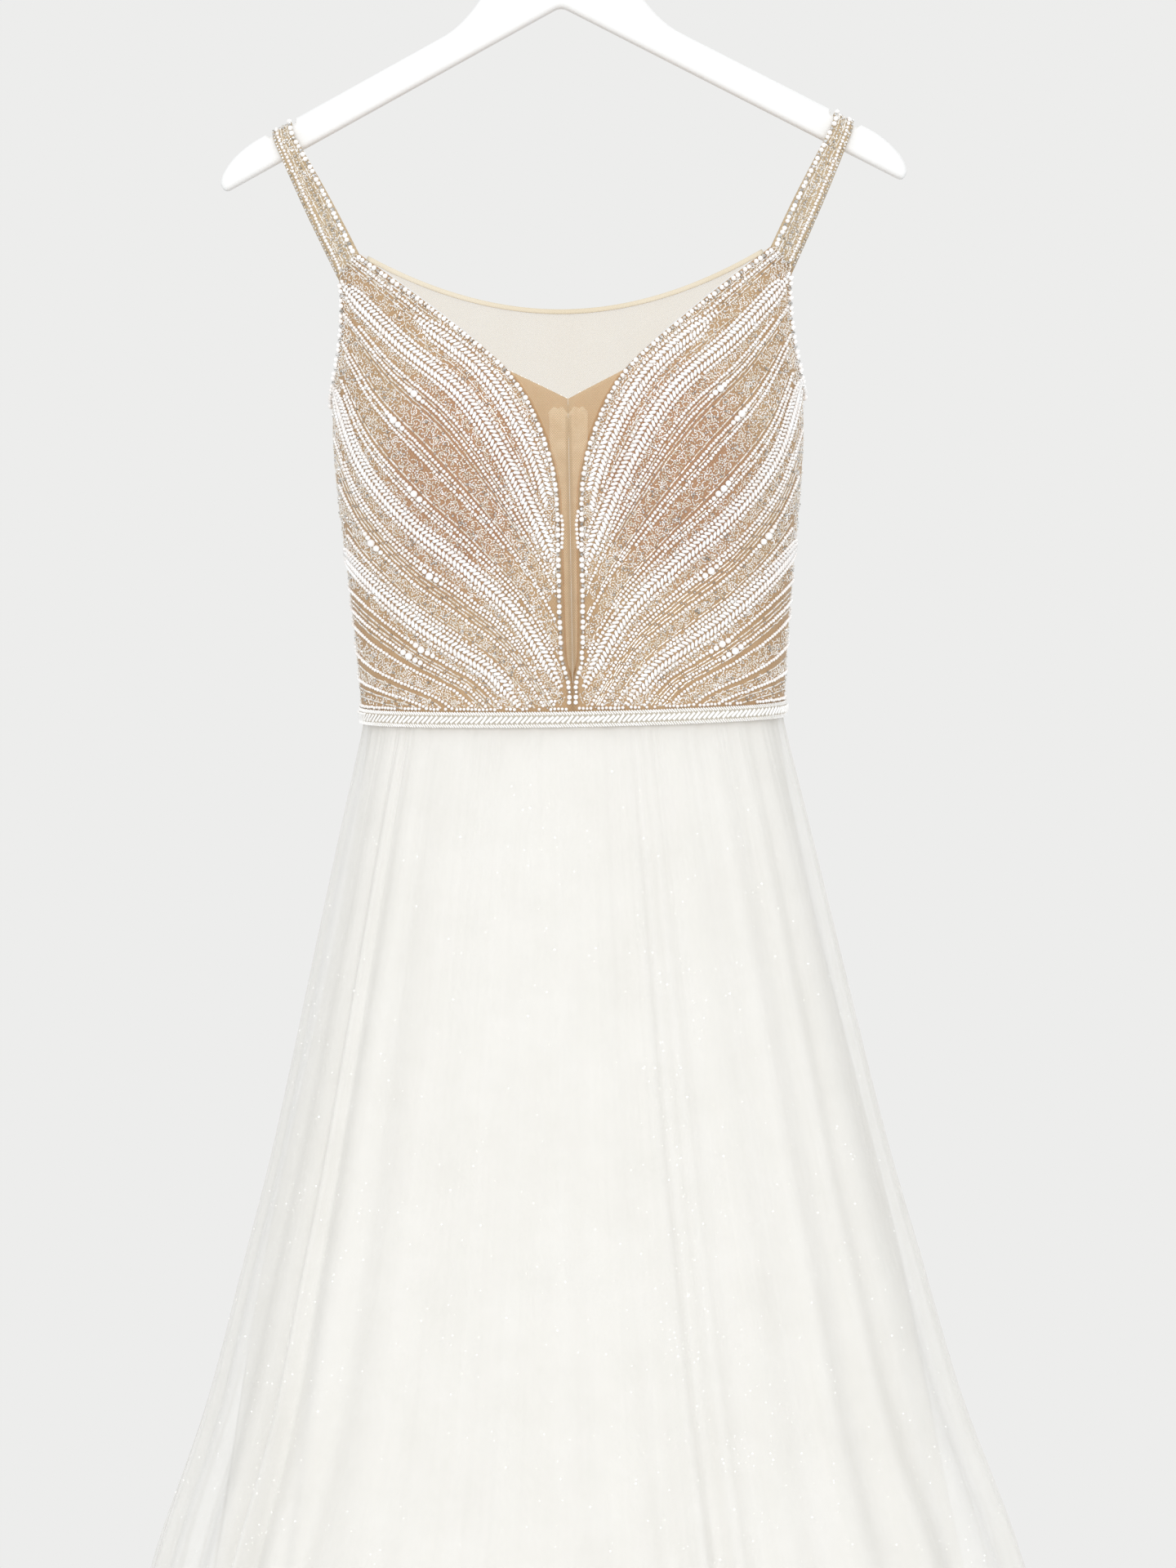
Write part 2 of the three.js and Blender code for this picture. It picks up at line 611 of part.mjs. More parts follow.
// Hook: a round section drawn along a bend, an S and a straight stem
function hangerHook() {
  const radius = HOOK_INSIDE_RADIUS + HOOK_WIRE_RADIUS;
  const bend = spread(HOOK_END_ANGLE, HOOK_START_ANGLE, 12).map((angle) => new THREE.Vector3(
    radius * Math.cos(angle),
    0,
    radius * Math.sin(angle) - HOOK_INSIDE_RADIUS,
  ));
  const stem = HOOK_STEM.map(({ x, z }) => new THREE.Vector3(x, 0, z));
  const foot = new THREE.Vector3(0, 0, HANGER_CROWN_Z - HOOK_BORE_DEPTH + SEAM_GAP);
  const section = new THREE.Shape(spread(0, 2 * Math.PI, HOOK_SIDES).slice(1).map((turn) => (
    new THREE.Vector2(HOOK_WIRE_RADIUS * Math.cos(turn), HOOK_WIRE_RADIUS * Math.sin(turn))
  )));
  return new THREE.ExtrudeGeometry(section, {
    steps: HOOK_STEPS,
    extrudePath: new THREE.CatmullRomCurve3([...bend, ...stem, foot]),
    bevelEnabled: false,
  });
}

// The gown and its hanger
const gown = new THREE.Group();
gown.name = 'beaded_gown_on_hanger';

function add(name, geometry, material) {
  const piece = new THREE.Mesh(geometry, material);
  piece.name = name;
  gown.add(piece);
}

add('hanger', await hanger(), MATERIALS.paint);
add('hanger_hook', hangerHook(), MATERIALS.wire);
for (const { suffix, side } of [{ suffix: 'left', side: -1 }, { suffix: 'right', side: 1 }]) {
  add(`bodice_front_${suffix}`, bodicePanel(side, false), MATERIALS.nude);
  add(`bodice_back_${suffix}`, bodicePanel(side, true), MATERIALS.nude);
  add(`cup_${suffix}`, bodiceCup(side), MATERIALS.cup);
  add(`zip_tape_${suffix}`, zipTape(side), MATERIALS.tape);
  add(`strap_${suffix}`, strap(side), MATERIALS.nude);
}
add('plunge_mesh', plungeMesh(), MATERIALS.mesh);
add('neck_binding', neckBinding(), MATERIALS.tape);
add('waist_belt', waistBelt(), MATERIALS.beads);
for (const { suffix, isBack } of [{ suffix: 'front', isBack: false }, { suffix: 'back', isBack: true }]) {
  add(`skirt_overlay_${suffix}`, skirtHalf(OVERLAY, isBack), MATERIALS.ivory);
  add(`underskirt_${suffix}`, skirtHalf(UNDERSKIRT, isBack), MATERIALS.ivory);
}

export default gown;
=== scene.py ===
"""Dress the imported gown: cloth, beads, zip, hanger, finishes, light and camera.

Forms are worked out in millimetres, as in the part's source, and become metres in the meshes.
"""

import logging
import math
from collections.abc import Callable, Sequence
from dataclasses import dataclass, field
from enum import Enum
from itertools import product

import bpy
import numpy as np
from bpy.types import Material, Mesh, Node, NodeSocket, NodeTree, Object
from mathutils import Matrix


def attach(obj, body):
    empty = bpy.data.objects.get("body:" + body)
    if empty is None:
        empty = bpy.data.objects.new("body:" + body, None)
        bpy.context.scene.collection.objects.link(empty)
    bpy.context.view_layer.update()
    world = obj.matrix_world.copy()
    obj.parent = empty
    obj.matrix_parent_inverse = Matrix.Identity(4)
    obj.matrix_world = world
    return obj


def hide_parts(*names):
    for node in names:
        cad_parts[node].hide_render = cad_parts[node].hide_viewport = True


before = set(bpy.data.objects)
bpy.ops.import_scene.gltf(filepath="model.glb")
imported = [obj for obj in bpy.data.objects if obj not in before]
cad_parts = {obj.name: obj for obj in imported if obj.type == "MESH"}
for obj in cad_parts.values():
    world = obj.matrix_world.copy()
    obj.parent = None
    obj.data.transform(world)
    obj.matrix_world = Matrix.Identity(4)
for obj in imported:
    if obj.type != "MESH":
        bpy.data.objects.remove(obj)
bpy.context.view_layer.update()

MM = 0.001
SIDES = {"left": -1, "right": 1}
LOG = logging.getLogger("gown")
Array = np.ndarray
Arrays = tuple[Array, Array]
Pair = tuple[float, float]
Triple = tuple[float, float, float]
Sockets = bpy.types.bpy_prop_collection


# Curves and tables

def unit(vectors: Array) -> Array:
    """Give vectors the length 1."""
    return vectors / np.maximum(np.linalg.norm(vectors, axis=-1, keepdims=True), 1e-12)


def soft_step(low: float, high: float, value: Array) -> Array:
    """Rise softly from 0 at the low place to 1 at the high one."""
    t = np.clip((value - low) / (high - low), 0.0, 1.0)
    return t * t * (3 - 2 * t)


def lift_from(
    surface: Callable[[Array, Array], Array], first: Array, second: Array, steps: Pair, lift: Array | float
) -> Arrays:
    """Find points at a distance from a surface.

    Args:
        surface: Gives its points for two arrays of places.
        first: The first places.
        second: The second places.
        steps: Small steps in both, whose signs say which side is outwards.
        lift: The distance outwards.

    Returns:
        The points and the outward normals.
    """
    along = surface(first + steps[0], second) - surface(first - steps[0], second)
    across = surface(first, second + steps[1]) - surface(first, second - steps[1])
    normals = unit(np.cross(along, across))
    return surface(first, second) + normals * np.asarray(lift)[..., None], normals


class SmoothTable:
    """A short table whose columns are read as smooth curves."""

    def __init__(self, columns: Sequence[str], rows: Sequence[Sequence[float]]) -> None:
        """Keep the rows.

        Args:
            columns: Names of the columns after the first, which is the place.
            rows: The rows, with rising places.
        """
        values = np.array(rows, dtype=float)
        self.places = values[:, 0]
        self.columns = {name: values[:, i + 1] for i, name in enumerate(columns)}

    def at(self, column: str, place: Array) -> Array:
        """Read a column.

        Args:
            column: Its name.
            place: The places to read it at.

        Returns:
            Its values there.
        """
        keys, values = self.places, self.columns[column]
        last = len(keys) - 1
        number = np.arange(last + 1)
        ahead, behind = np.minimum(number + 1, last), np.maximum(number - 1, 0)
        slope = (values[ahead] - values[behind]) / (keys[ahead] - keys[behind])
        low = np.clip(np.searchsorted(keys, place, side="left") - 1, 0, last - 1)
        span = keys[low + 1] - keys[low]
        t = np.clip((place - keys[low]) / span, 0.0, 1.0)
        rise = values[low + 1] - values[low]
        start, end = slope[low] * span, slope[low + 1] * span
        return values[low] + t * (start + t * (3 * rise - 2 * start - end + t * (start + end - 2 * rise)))


class PathCurve:
    """A smooth curve through points, with gentle turns at uneven spacing."""

    def __init__(self, points: Array) -> None:
        """Keep the points, with one more beyond each end."""
        ends = (2 * points[0] - points[1], 2 * points[-1] - points[-2])
        self.points = np.vstack((ends[0], points, ends[1]))
        self.spans = len(points) - 1

    def at(self, share: Array) -> Array:
        """Read the curve.

        Args:
            share: Places from 0 at the first point to 1 at the last.

        Returns:
            One point for each place.
        """
        place = np.clip(np.asarray(share, dtype=float), 0.0, 1.0) * self.spans
        i = np.minimum(place.astype(int), self.spans - 1)
        t = (place - i)[..., None]
        p0, p1, p2, p3 = (self.points[i + k] for k in range(4))
        d0, d1, d2 = (
            np.maximum(np.linalg.norm(b - a, axis=-1, keepdims=True), 1e-6) ** 0.5
            for a, b in ((p0, p1), (p1, p2), (p2, p3))
        )
        start = ((p1 - p0) / d0 - (p2 - p0) / (d0 + d1) + (p2 - p1) / d1) * d1
        end = ((p2 - p1) / d1 - (p3 - p1) / (d1 + d2) + (p3 - p2) / d2) * d1
        bend = -3 * p1 + 3 * p2 - 2 * start - end
        return p1 + t * (start + t * (bend + t * (2 * p1 - 2 * p2 + start + end)))


# The gown's form

@dataclass
class GownForm:
    """Surfaces of the bodice as formulas: angle 0 is the centre front, 90 degrees the +X side."""

    squareness: float = 0.06
    seam_gap: float = 0.3
    waist_side: float = -573.0
    waist_dip: float = 6.6
    underarm: float = -365.0
    back_notch: float = -361.0
    neck_centre: float = -315.5
    turn: float = 10 / 14
    mesh_start: float = 2 / 14
    mesh_gap: float = 1.2
    mesh_foot: float = 1.1 / 14
    wall: float = 1.6
    strap_inner: Pair = (133.5, -274.0)
    strap_outer: Pair = (147.0, -288.0)
    cup_place: Pair = (75.0, -412.0)
    cup_spread: Pair = (46.0, 50.0)
    cup_rise: float = 17.0
    dart_width: float = 67.0
    dart_depth: float = 0.7
    dart_spread: float = 1.3
    dart_foot: Pair = (-583.0, -560.0)
    dart_top: Pair = (-378.0, -400.0)
    side_radius: float = 120.0
    mesh_least: float = 0.2
    mesh_sag: float = 1.5
    lift_steps: Pair = (1e-3, 0.2)
    halvings: int = 36
    sections: SmoothTable = field(default_factory=lambda: SmoothTable(
        ("half", "front", "back"),
        (
            (-590, 136.5, 59, 53.5),
            (-525, 141, 65, 56),
            (-475, 146, 72, 60),
            (-430, 151, 77, 64),
            (-395, 154, 79, 66),
            (-365, 154, 78, 66),
            (-320, 157, 74, 63),
            (-265, 163, 68, 58),
        ),
    ))
    plunge: SmoothTable = field(default_factory=lambda: SmoothTable(
        ("gap",),
        (
            (-585, 0.15), (-557, 0.2), (-540, 4.4), (-438, 6), (-414, 9.5),
            (-392, 16.6), (-369, 27.4), (-349, 43), (-311, 87), (-274, 133.5),
        ),
    ))
    back_neck: SmoothTable = field(default_factory=lambda: SmoothTable(
        ("gap",),
        ((-361, 0.15), (-349, 24), (-335, 52), (-307, 95), (-274, 133.5)),
    ))

    def ring(self, half: Array, front: Array, back: Array, angle: Array) -> Arrays:
        """Find places on an oval ring.

        Args:
            half: Its half width.
            front: Its depth in front of the side seams.
            back: Its depth behind them.
            angle: The angles round it.

        Returns:
            The x and y of the places.
        """
        fullness = 1 + self.squareness * np.sin(2 * angle) ** 2
        depth = np.where(np.cos(angle) > 0, front, back)
        return half * np.sin(angle) * fullness, -depth * np.cos(angle) * fullness

    def bodice(self, angle: Array, z: Array) -> Array:
        """Find points of the bodice's inner face.

        Args:
            angle: Angles round it.
            z: Heights.

        Returns:
            The points.
        """
        angle, z = np.broadcast_arrays(np.asarray(angle, float), np.asarray(z, float))
        x, y = self.ring(*(self.sections.at(name, z) for name in ("half", "front", "back")), angle)
        across = (np.abs(x) - self.cup_place[0]) / self.cup_spread[0]
        up = (z - self.cup_place[1]) / self.cup_spread[1]
        rise = self.cup_rise * np.exp(-across**2 - up**2)
        facing = np.minimum(1, 3 * np.maximum(np.cos(angle), 0))
        return np.stack((x, y - rise * facing, z), axis=-1)

    def lifted(self, angle: Array, z: Array, lift: Array | float) -> Arrays:
        """Find points at a distance outside the bodice's inner face, and the outward normals."""
        return lift_from(self.bodice, angle, z, self.lift_steps, lift)

    def dart(self, angle: Array, z: Array) -> Array:
        """Find how far the bust darts draw the outer face in.

        Args:
            angle: Angles round the bodice.
            z: Heights.

        Returns:
            The depth of the dart's groove.
        """
        width = np.abs(self.bodice(angle, z)[..., 0]) - self.dart_width
        long = soft_step(*self.dart_foot, z) * soft_step(*self.dart_top, z)
        return self.dart_depth * np.exp(-((width / self.dart_spread) ** 2)) * long * (np.cos(angle) > 0)

    def outer(self, angle: Array, z: Array, lift: float = 0.0) -> Arrays:
        """Find points on or above the cloth's outer face, and the outward normals."""
        return self.lifted(angle, z, self.wall + lift - self.dart(angle, z))

    def angle_at_width(self, width: Array, z: Array) -> Array:
        """Find the front angle at a distance from the middle.

        Args:
            width: Distances from the middle.
            z: Heights.

        Returns:
            The angles, at most 90 degrees.
        """
        width, z = np.broadcast_arrays(np.asarray(width, float), np.asarray(z, float))
        half = self.sections.at("half", z)
        low, high = np.zeros(z.shape), np.full(z.shape, np.pi / 2)
        for _ in range(self.halvings):
            middle = (low + high) / 2
            short = half * np.sin(middle) * (1 + self.squareness * np.sin(2 * middle) ** 2) < width
            low, high = np.where(short, middle, low), np.where(short, high, middle)
        return low

    def waist(self, angle: Array) -> Array:
        """Give the height of the waist seam, which dips at the centre front."""
        return self.waist_side - self.waist_dip * np.maximum(np.cos(angle), 0)

    def armhole(self, z: Array) -> Array:
        """Give the angle of the side seam or armhole at a height."""
        side = np.pi / 2 - self.seam_gap / self.side_radius
        strap = self.angle_at_width(*self.strap_outer)
        reach = (z - self.underarm) / (self.strap_outer[1] - self.underarm)
        return side - (side - strap) * np.sin(np.arccos(1 - np.clip(reach, 0, 1)))

    def side_edge(self, v: Array) -> Arrays:
        """Follow the side seam, then the armhole up to the strap.

        Args:
            v: Share of the panel's height.

        Returns:
            The edge's angles and heights.
        """
        waist = self.waist_side + self.seam_gap / 2
        low = waist + (self.underarm - waist) * v / self.turn
        rise = np.clip((v - self.turn) / (1 - self.turn), 0, 1) * np.pi / 2
        high = self.underarm + (self.strap_outer[1] - self.underarm) * (1 - np.cos(rise))
        z = np.where(v <= self.turn, low, high)
        return self.armhole(z), z

    def plunge_edge(self, v: Array) -> Arrays:
        """Follow the plunge from the waist to the strap.

        Args:
            v: Share of the panel's height.

        Returns:
            The edge's angles and heights.
        """
        waist = self.waist(0.0) + self.seam_gap / 2
        z = waist + (self.strap_inner[1] - waist) * v
        return self.angle_at_width(self.plunge.at("gap", z), z), z

    def back_edge(self, v: Array) -> Arrays:
        """Follow the zip seam, then the back neckline up to the strap.

        Args:
            v: Share of the panel's height.

        Returns:
            The edge's angles, from the centre back, and heights.
        """
        waist = self.waist_side + self.seam_gap / 2
        low = waist + (self.back_notch - waist) * v / self.turn
        high = self.back_notch + (self.strap_inner[1] - self.back_notch) * (v - self.turn) / (1 - self.turn)
        z = np.where(v <= self.turn, low, high)
        gap = np.where(v <= self.turn, self.seam_gap / 2, self.back_neck.at("gap", z))
        return self.angle_at_width(gap, z), z

    def panel(self, v: Array, t: Array, is_back: bool) -> Arrays:
        """Find places on a panel of the +X side.

        Args:
            v: Share of its height.
            t: Share from its inner edge to its outer edge.
            is_back: Whether it is a back panel.

        Returns:
            Angles and heights.
        """
        inner = self.back_edge(v) if is_back else self.plunge_edge(v)
        outer = self.side_edge(v)
        angle = inner[0] + (outer[0] - inner[0]) * t
        z = inner[1] + (outer[1] - inner[1]) * t
        if is_back:
            return np.pi - angle, z
        straight = self.waist(inner[0]) + (self.waist(outer[0]) - self.waist(inner[0])) * t
        return angle, z + (1 - v) * (self.waist(angle) - straight)

    def plunge_place(self, u: Array, v: Array) -> Arrays:
        """Find places on the mesh that fills the plunge.

        Args:
            u: Share across, from -1 to 1.
            v: Share of the panel's height.

        Returns:
            Angles and heights.
        """
        edge_z = self.plunge_edge(v)[1]
        edge = np.maximum(self.plunge.at("gap", edge_z) - self.mesh_gap, self.mesh_least)
        rise = np.maximum((v - self.mesh_start) / (1 - self.mesh_start), 0)
        z = edge_z - (self.strap_inner[1] - self.neck_centre) * rise**self.mesh_sag * (1 - u * u)
        return np.sign(u) * self.angle_at_width(np.abs(u) * edge, z), z


# Meshes

def make_mesh(name: str, points: Array, loops: Array, sizes: Array, smooth: Array) -> Mesh:
    """Make a mesh from arrays.

    Args:
        name: Its name.
        points: Points in millimetres.
        loops: The points' numbers, face after face.
        sizes: How many corners each face has.
        smooth: Whether each face is shaded smooth.

    Returns:
        The mesh.
    """
    mesh = bpy.data.meshes.new(name)
    mesh.vertices.add(len(points))
    mesh.vertices.foreach_set("co", (points * MM).astype(np.float32).ravel())
    mesh.loops.add(len(loops))
    mesh.loops.foreach_set("vertex_index", loops.astype(np.int32))
    mesh.polygons.add(len(sizes))
    mesh.polygons.foreach_set("loop_start", (np.cumsum(sizes) - sizes).astype(np.int32))
    mesh.polygons.foreach_set("use_smooth", smooth.astype(bool))
    mesh.update(calc_edges=True)
    mesh.validate()
    return mesh


def make_grid(name: str, points: Array, normals: Array, flat: Array) -> Object:
    """Make a sheet of faces on a grid of points.

    Args:
        name: Its name.
        points: Points by row and column, in millimetres.
        normals: The side that the faces look to.
        flat: The same places on the flat cloth, in metres, for its weave.

    Returns:
        The object.
    """
    rows, columns = points.shape[:2]
    number = np.arange(rows * columns).reshape(rows, columns)
    corners = np.stack((number[:-1, :-1], number[:-1, 1:], number[1:, 1:], number[1:, :-1]), axis=-1)
    row, column = rows // 2, columns // 2
    facing = np.cross(
        points[row, column] - points[row, column - 1],
        points[row, column] - points[row - 1, column],
    )
    if facing @ normals[row, column] < 0:
        corners = corners[..., ::-1]
    loops = corners.reshape(-1)
    faces = len(loops) // 4
    mesh = make_mesh(name, points.reshape(-1, 3), loops, np.full(faces, 4), np.ones(faces))
    mesh.uv_layers.new(name="flat_cloth").data.foreach_set("uv", flat.reshape(-1, 2)[loops].ravel())
    return link(name, mesh)


def link(name: str, data: bpy.types.ID) -> Object:
    """Put a mesh, a lamp or a camera into the scene as an object.

    Args:
        name: The object's name.
        data: Its data.

    Returns:
        The object.
    """
    piece = bpy.data.objects.new(name, data)
    bpy.context.scene.collection.objects.link(piece)
    return piece


def pick(piece: Object) -> None:
    """Select one object alone and make it active."""
    bpy.ops.object.select_all(action="DESELECT")
    piece.select_set(True)
    bpy.context.view_layer.objects.active = piece


def finish_with(piece: Object, kind: str, **settings: object) -> None:
    """Apply a modifier to a piece.

    Args:
        piece: The piece.
        kind: The modifier's type.
        settings: The modifier's settings.
    """
    pick(piece)
    modifier = piece.modifiers.new(kind.lower(), kind)
    for name, value in settings.items():
        setattr(modifier, name, value)
    bpy.ops.object.modifier_apply(modifier=modifier.name)


def thicken(piece: Object, wall: float) -> None:
    """Give a sheet a wall on its inner side, in millimetres, with room for a finish on either face."""
    for _ in range(2):
        piece.data.materials.append(None)
    finish_with(piece, "SOLIDIFY", thickness=wall * MM, offset=-1, material_offset=1, material_offset_rim=1)


def adopt(
    piece: Object, finishes: Sequence["Finish"], nodes: Sequence[str] = ()
) -> Object:
    """Give a piece its finish and its place in the model.

    Args:
        piece: The piece.
        finishes: Its finish, and the finish of its lining if it has one.
        nodes: The solids that it stands for.

    Returns:
        The piece.
    """
    slots = piece.data.materials
    for i, finish in enumerate(finishes):
        if i == len(slots):
            slots.append(None)
        slots[i] = finish.material()
    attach(piece, "root")
    if nodes:
        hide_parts(*nodes)
    LOG.info("%s: %d faces", piece.name, len(piece.data.polygons))
    return piece


# Finishes

SHEEN_ROUGHNESS = 0.4
THREAD_DEPTH = 0.0002


def colour(code: str) -> tuple[float, float, float, float]:
    """Turn a hex code into linear red, green and blue with full cover."""
    shares = [int(code[i:i + 2], 16) / 255 for i in (1, 3, 5)]
    linear = [s / 12.92 if s <= 0.04045 else ((s + 0.055) / 1.055) ** 2.4 for s in shares]
    return (linear[0], linear[1], linear[2], 1.0)


class Nodes:
    """A node tree that is written one node at a time."""

    def __init__(self, tree: NodeTree) -> None:
        """Keep the tree."""
        self.tree = tree

    def add(self, kind: str, inputs: dict | None = None, **settings: object) -> Node:
        """Add a node.

        Args:
            kind: Its type.
            inputs: Values or sockets for its inputs, by name or number.
            settings: Its other settings.

        Returns:
            The node.
        """
        node = self.tree.nodes.new(kind)
        for name, value in settings.items():
            setattr(node, name, value)
        self.feed_all(node.inputs, inputs or {})
        return node

    def feed(self, socket: NodeSocket, value: object) -> None:
        """Link a socket to an input, or set its value."""
        if isinstance(value, NodeSocket):
            self.tree.links.new(value, socket)
        else:
            socket.default_value = value

    def feed_all(self, sockets: Sockets, values: dict) -> None:
        """Link or set several of a node's sockets, by name or number."""
        for key, value in values.items():
            self.feed(sockets[key], value)

    def math(self, operation: str, first: object, second: object = 0.0) -> NodeSocket:
        """Add a sum on one or two numbers and give its result."""
        return self.add("ShaderNodeMath", {0: first, 1: second}, operation=operation).outputs[0]

    def scaled(
        self, value: object, low: object, high: object, start: object, end: object
    ) -> NodeSocket:
        """Map a number softly from the range low to high onto the range start to end."""
        inputs = {"Value": value, "From Min": low, "From Max": high, "To Min": start, "To Max": end}
        return self.add("ShaderNodeMapRange", inputs, interpolation_type="SMOOTHSTEP").outputs["Result"]

    def grouped(self, group: NodeTree, **inputs: object) -> NodeSocket:
        """Place a node group with its inputs and give its result."""
        return self.add("ShaderNodeGroup", inputs, node_tree=group).outputs["Result"]

    def mixed(self, share: object, first: object, second: object) -> NodeSocket:
        """Mix two colours.

        Args:
            share: How much of the second.
            first: A colour.
            second: Another.

        Returns:
            The mixture.
        """
        node = self.add("ShaderNodeMix", data_type="RGBA")
        for key, value in (("Factor_Float", share), ("A_Color", first), ("B_Color", second)):
            self.feed(next(s for s in node.inputs if s.identifier == key), value)
        return next(s for s in node.outputs if s.identifier == "Result_Color")


def start_group(name: str, numbers: Sequence[str]) -> tuple[Nodes, Node, Node]:
    """Start a node group with a vector, some numbers and one result.

    Args:
        name: The group's name.
        numbers: Names of the number inputs.

    Returns:
        The group's nodes, its input node and its output node.
    """
    tree = bpy.data.node_groups.new(name, "ShaderNodeTree")
    tree.interface.new_socket("Vector", in_out="INPUT", socket_type="NodeSocketVector")
    for number in numbers:
        tree.interface.new_socket(number, in_out="INPUT", socket_type="NodeSocketFloat")
    tree.interface.new_socket("Result", in_out="OUTPUT", socket_type="NodeSocketFloat")
    nodes = Nodes(tree)
    return nodes, nodes.add("NodeGroupInput"), nodes.add("NodeGroupOutput")


def net_group() -> NodeTree:
    """Give the group that draws the crossing threads of a net, from 0 in a hole to 1 on a thread."""
    if "net" in bpy.data.node_groups:
        return bpy.data.node_groups["net"]
    nodes, source, result = start_group("net", ("Threads", "Thickness"))
    counted = {0: source.outputs["Vector"], "Scale": source.outputs["Threads"]}
    scaled = nodes.add("ShaderNodeVectorMath", counted, operation="SCALE")
    place = nodes.add("ShaderNodeSeparateXYZ", {0: scaled.outputs[0]})
    steep = nodes.math("MULTIPLY", place.outputs["Y"], 0.62)
    lines = [
        nodes.math("PINGPONG", nodes.math(way, place.outputs["X"], steep), 0.5)
        for way in ("ADD", "SUBTRACT")
    ]
    near = nodes.math("MINIMUM", *lines)
    drawn = nodes.scaled(near, 0.0, source.outputs["Thickness"], 1.0, 0.0)
    nodes.feed(result.inputs["Result"], drawn)
    return nodes.tree


def weave_group() -> NodeTree:
    """Give the group that draws the over and under of a plain weave as a height."""
    if "weave" in bpy.data.node_groups:
        return bpy.data.node_groups["weave"]
    nodes, source, result = start_group("weave", ("Threads", "Slub"))
    drift = nodes.add(
        "ShaderNodeTexNoise", {"Vector": source.outputs["Vector"], "Scale": 90.0, "Detail": 2.0}
    )
    counted = {0: source.outputs["Vector"], "Scale": source.outputs["Threads"]}
    scaled = nodes.add("ShaderNodeVectorMath", counted, operation="SCALE")
    place = nodes.add("ShaderNodeSeparateXYZ", {0: scaled.outputs[0]})
    waves = [
        nodes.math("SINE", nodes.math("MULTIPLY", place.outputs[axis], 2 * math.pi)) for axis in ("X", "Y")
    ]
    crossing = nodes.scaled(nodes.math("MULTIPLY", *waves), -1.0, 1.0, 0.0, 1.0)
    slub = nodes.math("MULTIPLY", drift.outputs["Fac"], source.outputs["Slub"])
    nodes.feed(result.inputs["Result"], nodes.math("ADD", crossing, slub))
    return nodes.tree


def drift_group() -> NodeTree:
    """Give the group that drifts slowly between two numbers over a surface."""
    if "drift" in bpy.data.node_groups:
        return bpy.data.node_groups["drift"]
    nodes, source, result = start_group("drift", ("Scale", "Low", "High"))
    vector, scale = source.outputs["Vector"], source.outputs["Scale"]
    noise = nodes.add(
        "ShaderNodeTexNoise", {"Vector": vector, "Scale": scale, "Detail": 4.0, "Roughness": 0.55}
    )
    ends = {"To Min": source.outputs["Low"], "To Max": source.outputs["High"]}
    mapped = nodes.add(
        "ShaderNodeMapRange", {"Value": noise.outputs["Fac"], "From Min": 0.3, "From Max": 0.7, **ends}
    )
    nodes.feed(result.inputs["Result"], mapped.outputs["Result"])
    return nodes.tree


@dataclass(frozen=True)
class Finish:
    """What a piece's surface is like, with its two tones: its material is made once and shared."""

    name: str
    low: str
    high: str

    def material(self) -> Material:
        """Give the finish's material, and make it the first time."""
        if self.name in bpy.data.materials:
            return bpy.data.materials[self.name]
        made = bpy.data.materials.new(self.name)
        made.use_nodes = True
        nodes = Nodes(made.node_tree)
        self.dress(nodes, made.node_tree.nodes["Principled BSDF"].inputs)
        return made

    def dress(self, nodes: Nodes, skin: Sockets) -> None:
        """Set the shader's sockets and link its patterns."""
        raise NotImplementedError


